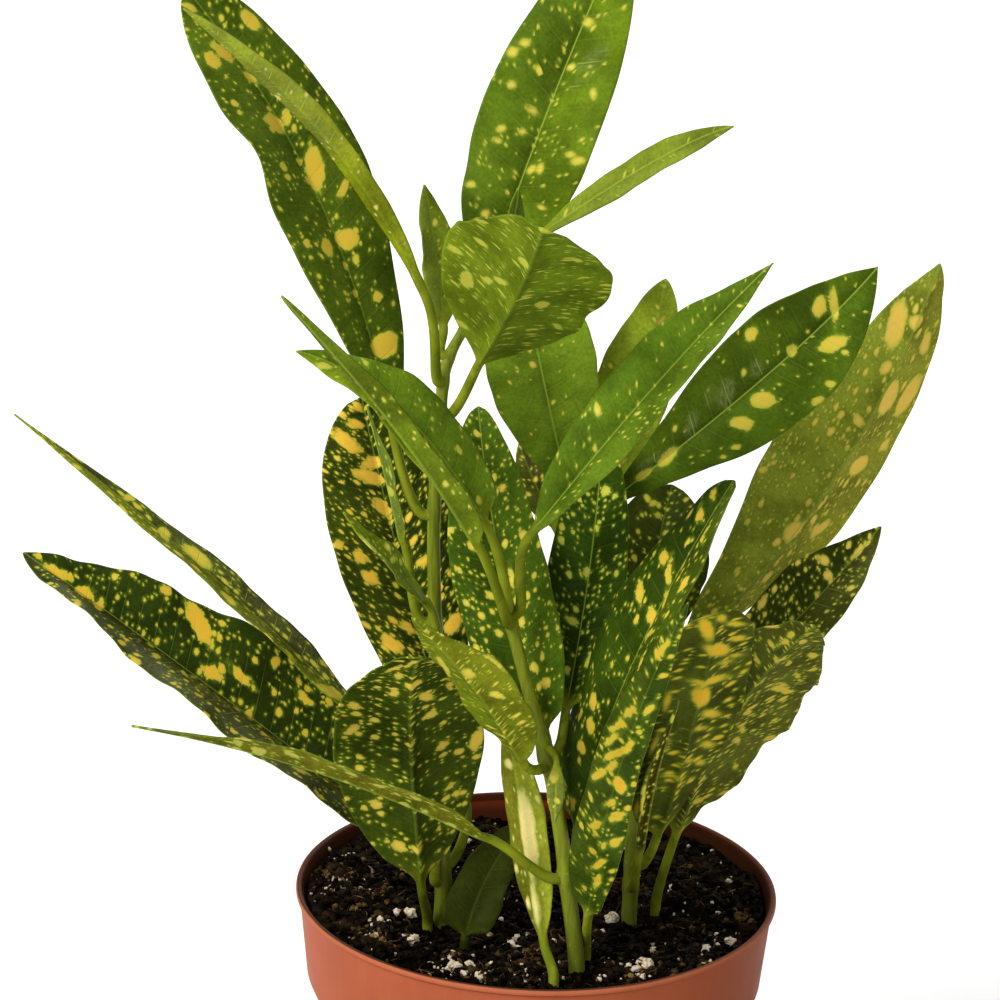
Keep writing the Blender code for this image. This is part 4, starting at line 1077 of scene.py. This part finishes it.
def ball():
    """Points and faces of an icosahedron, and of a rounder ball."""
    golden = (1 + 5 ** 0.5) / 2
    four = [(-1, golden, 0), (1, golden, 0), (-1, -golden, 0), (1, -golden, 0)]
    corners = np.vstack([np.roll(four, shift, 1) for shift in range(3)])
    corners = corners / np.linalg.norm(corners[0])
    faces = [(0, 11, 5), (0, 5, 1), (0, 1, 7), (0, 7, 10), (0, 10, 11), (1, 5, 9), (5, 11, 4),
             (11, 10, 2), (10, 7, 6), (7, 1, 8), (3, 9, 4), (3, 4, 2), (3, 2, 6), (3, 6, 8),
             (3, 8, 9), (4, 9, 5), (2, 4, 11), (6, 2, 10), (8, 6, 7), (9, 8, 1)]
    points = [tuple(p) for p in corners]
    middles = {}

    def middle(a, b):
        key = (min(a, b), max(a, b))
        if key not in middles:
            middles[key] = len(points)
            points.append(tuple(unit(np.add(points[a], points[b]))))
        return middles[key]

    split = []
    for a, b, c in faces:
        ab, bc, ca = middle(a, b), middle(b, c), middle(c, a)
        split += [(a, ab, ca), (b, bc, ab), (c, ca, bc), (ab, bc, ca)]
    return (corners, faces), (np.array(points), split)


PLAIN_BALL, FINE_BALL = ball()


def lump(draw, size, flat):
    """Points and faces of one irregular lump: a ball pushed in and out."""
    points, faces = FINE_BALL if size > 1.3 else PLAIN_BALL
    points = points * (1 + draw.uniform(-0.28, 0.28, (len(points), 1)))
    points = points * draw.uniform(0.65, 1.25, 3) * (1, 1, flat) * size
    turn = np.array(Matrix.Rotation(draw.uniform(0, TURN), 3, 'Z'))
    tilt = np.array(Matrix.Rotation(draw.uniform(-0.5, 0.5), 3, 'X'))
    return points @ tilt.T @ turn.T, faces


def on_soil(x, y, size):
    """Whether a lump fits there, inside the pot and clear of the stems and stalks."""
    if math.hypot(x, y) + size > inside_radius(SOIL_TOP) - 0.4:
        return False
    return all(math.hypot(x - a, y - b) > size + FOOT_CLEARANCE for a, b, _ in FEET)


def foot_crumbs():
    """Crumbs pushed up around each stem and stalk where it leaves the soil."""
    draw = np.random.default_rng(16)
    spots = []
    for x, y, radius in FEET:
        for angle in np.arange(0, TURN, 0.45) + draw.uniform(-0.2, 0.2, 14):
            size = draw.uniform(0.7, 1.5)
            reach = radius + 0.85 * size
            spots.append((x + reach * math.cos(angle), y + reach * math.sin(angle), size))
    return spots


def add_bits(name, shapes, material, smooth):
    """Many small closed shapes on the soil, in one piece."""
    points, faces = [], []
    total = 0
    for shape, sides in shapes:
        points.append(shape)
        faces += [tuple(i + total for i in side) for side in sides]
        total += len(shape)
    obj = mesh_object(name, np.vstack(points), faces, material, smooth)


def scatter(name, count, sizes, flat, material, seed, listed=(), clusters=()):
    """Many small lumps on the soil. Listed ones have a place and a size."""
    draw = np.random.default_rng(seed)
    spots = list(listed)
    centres = [cluster[:3] for cluster in clusters for _ in range(cluster[3])]
    while len(spots) < count:
        size = sizes[0] + (sizes[1] - sizes[0]) * draw.random() ** 2.2
        if centres:
            x, y, spread = centres.pop()
            spot = (x + draw.normal(0, spread), y + draw.normal(0, spread), size)
        else:
            radius = (inside_radius(SOIL_TOP) - 1.0) * math.sqrt(draw.random())
            angle = draw.uniform(0, TURN)
            spot = (radius * math.cos(angle), radius * math.sin(angle), size)
        if on_soil(*spot):
            spots.append(spot)
    shapes = []
    for x, y, size in spots:
        shape, faces = lump(draw, size, flat)
        height = float(soil_height(np.array(x), np.array(y))) + size * flat * 0.5
        shapes.append((shape + (x, y, height), faces))
    add_bits(name, shapes, material, False)


def strand(path, radius):
    """Rings of a thin tube along a path."""
    angles = np.arange(0.5, 6) * math.pi / 3
    rings = []
    for k, (point, slope) in enumerate(zip(path, np.gradient(path, axis=0))):
        direction = unit(slope)
        side = across(np.array([0.1, 0.2, 1.0]), direction)
        thin = radius * (1 - 0.6 * abs(2 * k / (len(path) - 1) - 1) ** 2)
        rings.append(circle(point, thin, side, np.cross(direction, side), angles))
    return np.array(rings)


def add_fibres(name, count, material, seed, length, radius):
    """Short bent strands of bark and coconut fibre that lie on the soil."""
    draw = np.random.default_rng(seed)
    steps = np.linspace(-0.5, 0.5, 7)
    shapes = []
    while len(shapes) < count:
        reach = (inside_radius(SOIL_TOP) - 6.0) * math.sqrt(draw.random())
        angle, turn = draw.uniform(0, TURN, 2)
        long = draw.uniform(*length)
        bend = draw.uniform(-0.35, 0.35) * long * 4 * steps ** 2
        x = reach * math.cos(angle) + long * steps * math.cos(turn) - bend * math.sin(turn)
        y = reach * math.sin(angle) + long * steps * math.sin(turn) + bend * math.cos(turn)
        if all(on_soil(a, b, 0.4) for a, b in zip(x, y)):
            z = soil_height(x, y) + 0.5 + draw.uniform(0, 1.0) + draw.uniform(-1.2, 1.2) * steps
            rings = strand(np.stack([x, y, z], -1), radius * draw.uniform(0.6, 1.4))
            shapes.append((rings.reshape(-1, 3), skin(rings)))
    add_bits(name, shapes, material, True)


def add_root_fibre(material):
    """The one pale root that loops out of the soil at the left."""
    path = smooth_path([(-43, 13, 86), (-40, 15, 88.5), (-37.5, 12, 89.5), (-37, 7, 89),
                        (-35.5, 3, 88.5), (-33, 0, 87.5), (-33, -3, 86)], 5)
    rings = strand(path, 0.32)
    add_bits("root_fibre", [(rings.reshape(-1, 3), skin(rings))], material, True)


def add_stage():
    """A plain pale floor, a white sky and soft lights."""
    size = FLOOR_HALF_WIDTH
    mesh = bpy.data.meshes.new("floor")
    mesh.from_pydata([(-size, -size, 0), (size, -size, 0), (size, size, 0), (-size, size, 0)], [],
                     [(0, 1, 2, 3)])
    mesh.materials.append(Graph("pale_floor").finish((0.93, 0.93, 0.92), 0.9, specular=0.0))
    floor = new_object("floor", mesh)
    world = bpy.data.worlds.new("studio")
    bpy.context.scene.world = world
    world.use_nodes = True
    sky = world.node_tree.nodes["Background"]
    sky.inputs["Color"].default_value = (1.0, 1.0, 1.0, 1.0)
    sky.inputs["Strength"].default_value = SKY_STRENGTH
    add_light("key", (-1.1, -1.0, 1.3), 1.0, 42.0)
    add_light("fill", (1.1, -0.9, 0.7), 1.0, 1.5)
    add_light("back", (0.3, 1.3, 1.2), 1.2, 16.0)


def add_light(name, place, size, power):
    """A soft square lamp that looks at the plant's middle. Its place and size are in metres."""
    lamp = bpy.data.lights.new(name, 'AREA')
    lamp.shape = 'SQUARE'
    lamp.size = size
    lamp.energy = power
    obj = new_object(name, lamp)
    obj.location = place
    aim = Vector((0, 0, 0.17)) - obj.location
    obj.rotation_euler = aim.to_track_quat('-Z', 'Y').to_euler()


def add_camera():
    lens = bpy.data.cameras.new("camera")
    lens.sensor_width = SENSOR
    lens.lens = LENS
    lens.clip_start = 0.01
    camera = new_object("camera", lens)
    tilt = Matrix.Rotation(math.radians(90 - CAMERA_DOWN), 4, 'X')
    roll = Matrix.Rotation(math.radians(CAMERA_ROLL), 4, 'Z')
    camera.matrix_world = Matrix.Translation(Vector(CAMERA_PLACE) * MM) @ tilt @ roll
    bpy.context.scene.camera = camera


def build():
    bpy.context.scene.view_settings.view_transform = 'Standard'
    add_camera()
    add_pot()
    black_soil = soil_material("black_soil", (0.0018, 0.0012, 0.0007), (0.016, 0.0095, 0.0040))
    golden_peat = soil_material("golden_peat", (0.036, 0.020, 0.006), (0.16, 0.095, 0.030))
    brown_soil = soil_material("brown_soil", (0.004, 0.0022, 0.0010), (0.048, 0.027, 0.011))
    gold_fibre = soil_material("gold_fibre", (0.03, 0.015, 0.005), (0.16, 0.09, 0.03))
    pale_fibre = soil_material("pale_fibre", (0.16, 0.11, 0.06), (0.34, 0.26, 0.16))
    add_soil(black_soil)
    scatter("soil_crumbs", 5300, (0.25, 1.35), 0.85, black_soil, 11, foot_crumbs())
    scatter("soil_bark", 620, (0.3, 1.5), 0.7, brown_soil, 12)
    scatter("golden_bits", 1000, (0.22, 0.95), 0.8, golden_peat, 15, (), PEAT_CLUSTERS)
    scatter("pale_grains", 820, (0.15, 0.7), 0.9, pale_material(), 13, PALE_GRAINS, PALE_CLUSTERS)
    add_fibres("soil_fibres", 200, gold_fibre, 14, (1.5, 5.0), 0.13)
    add_root_fibre(pale_fibre)
    stem_green = stem_material()
    for name, stem in STEMS.items():
        joints = [leaf.root for leaf in LEAVES if leaf.carrier == name]
        add_stem(name, stem, stem_green, joints)
    for number, leaf in enumerate(LEAVES):
        add_leaf(leaf, number)
    add_stage()


build()
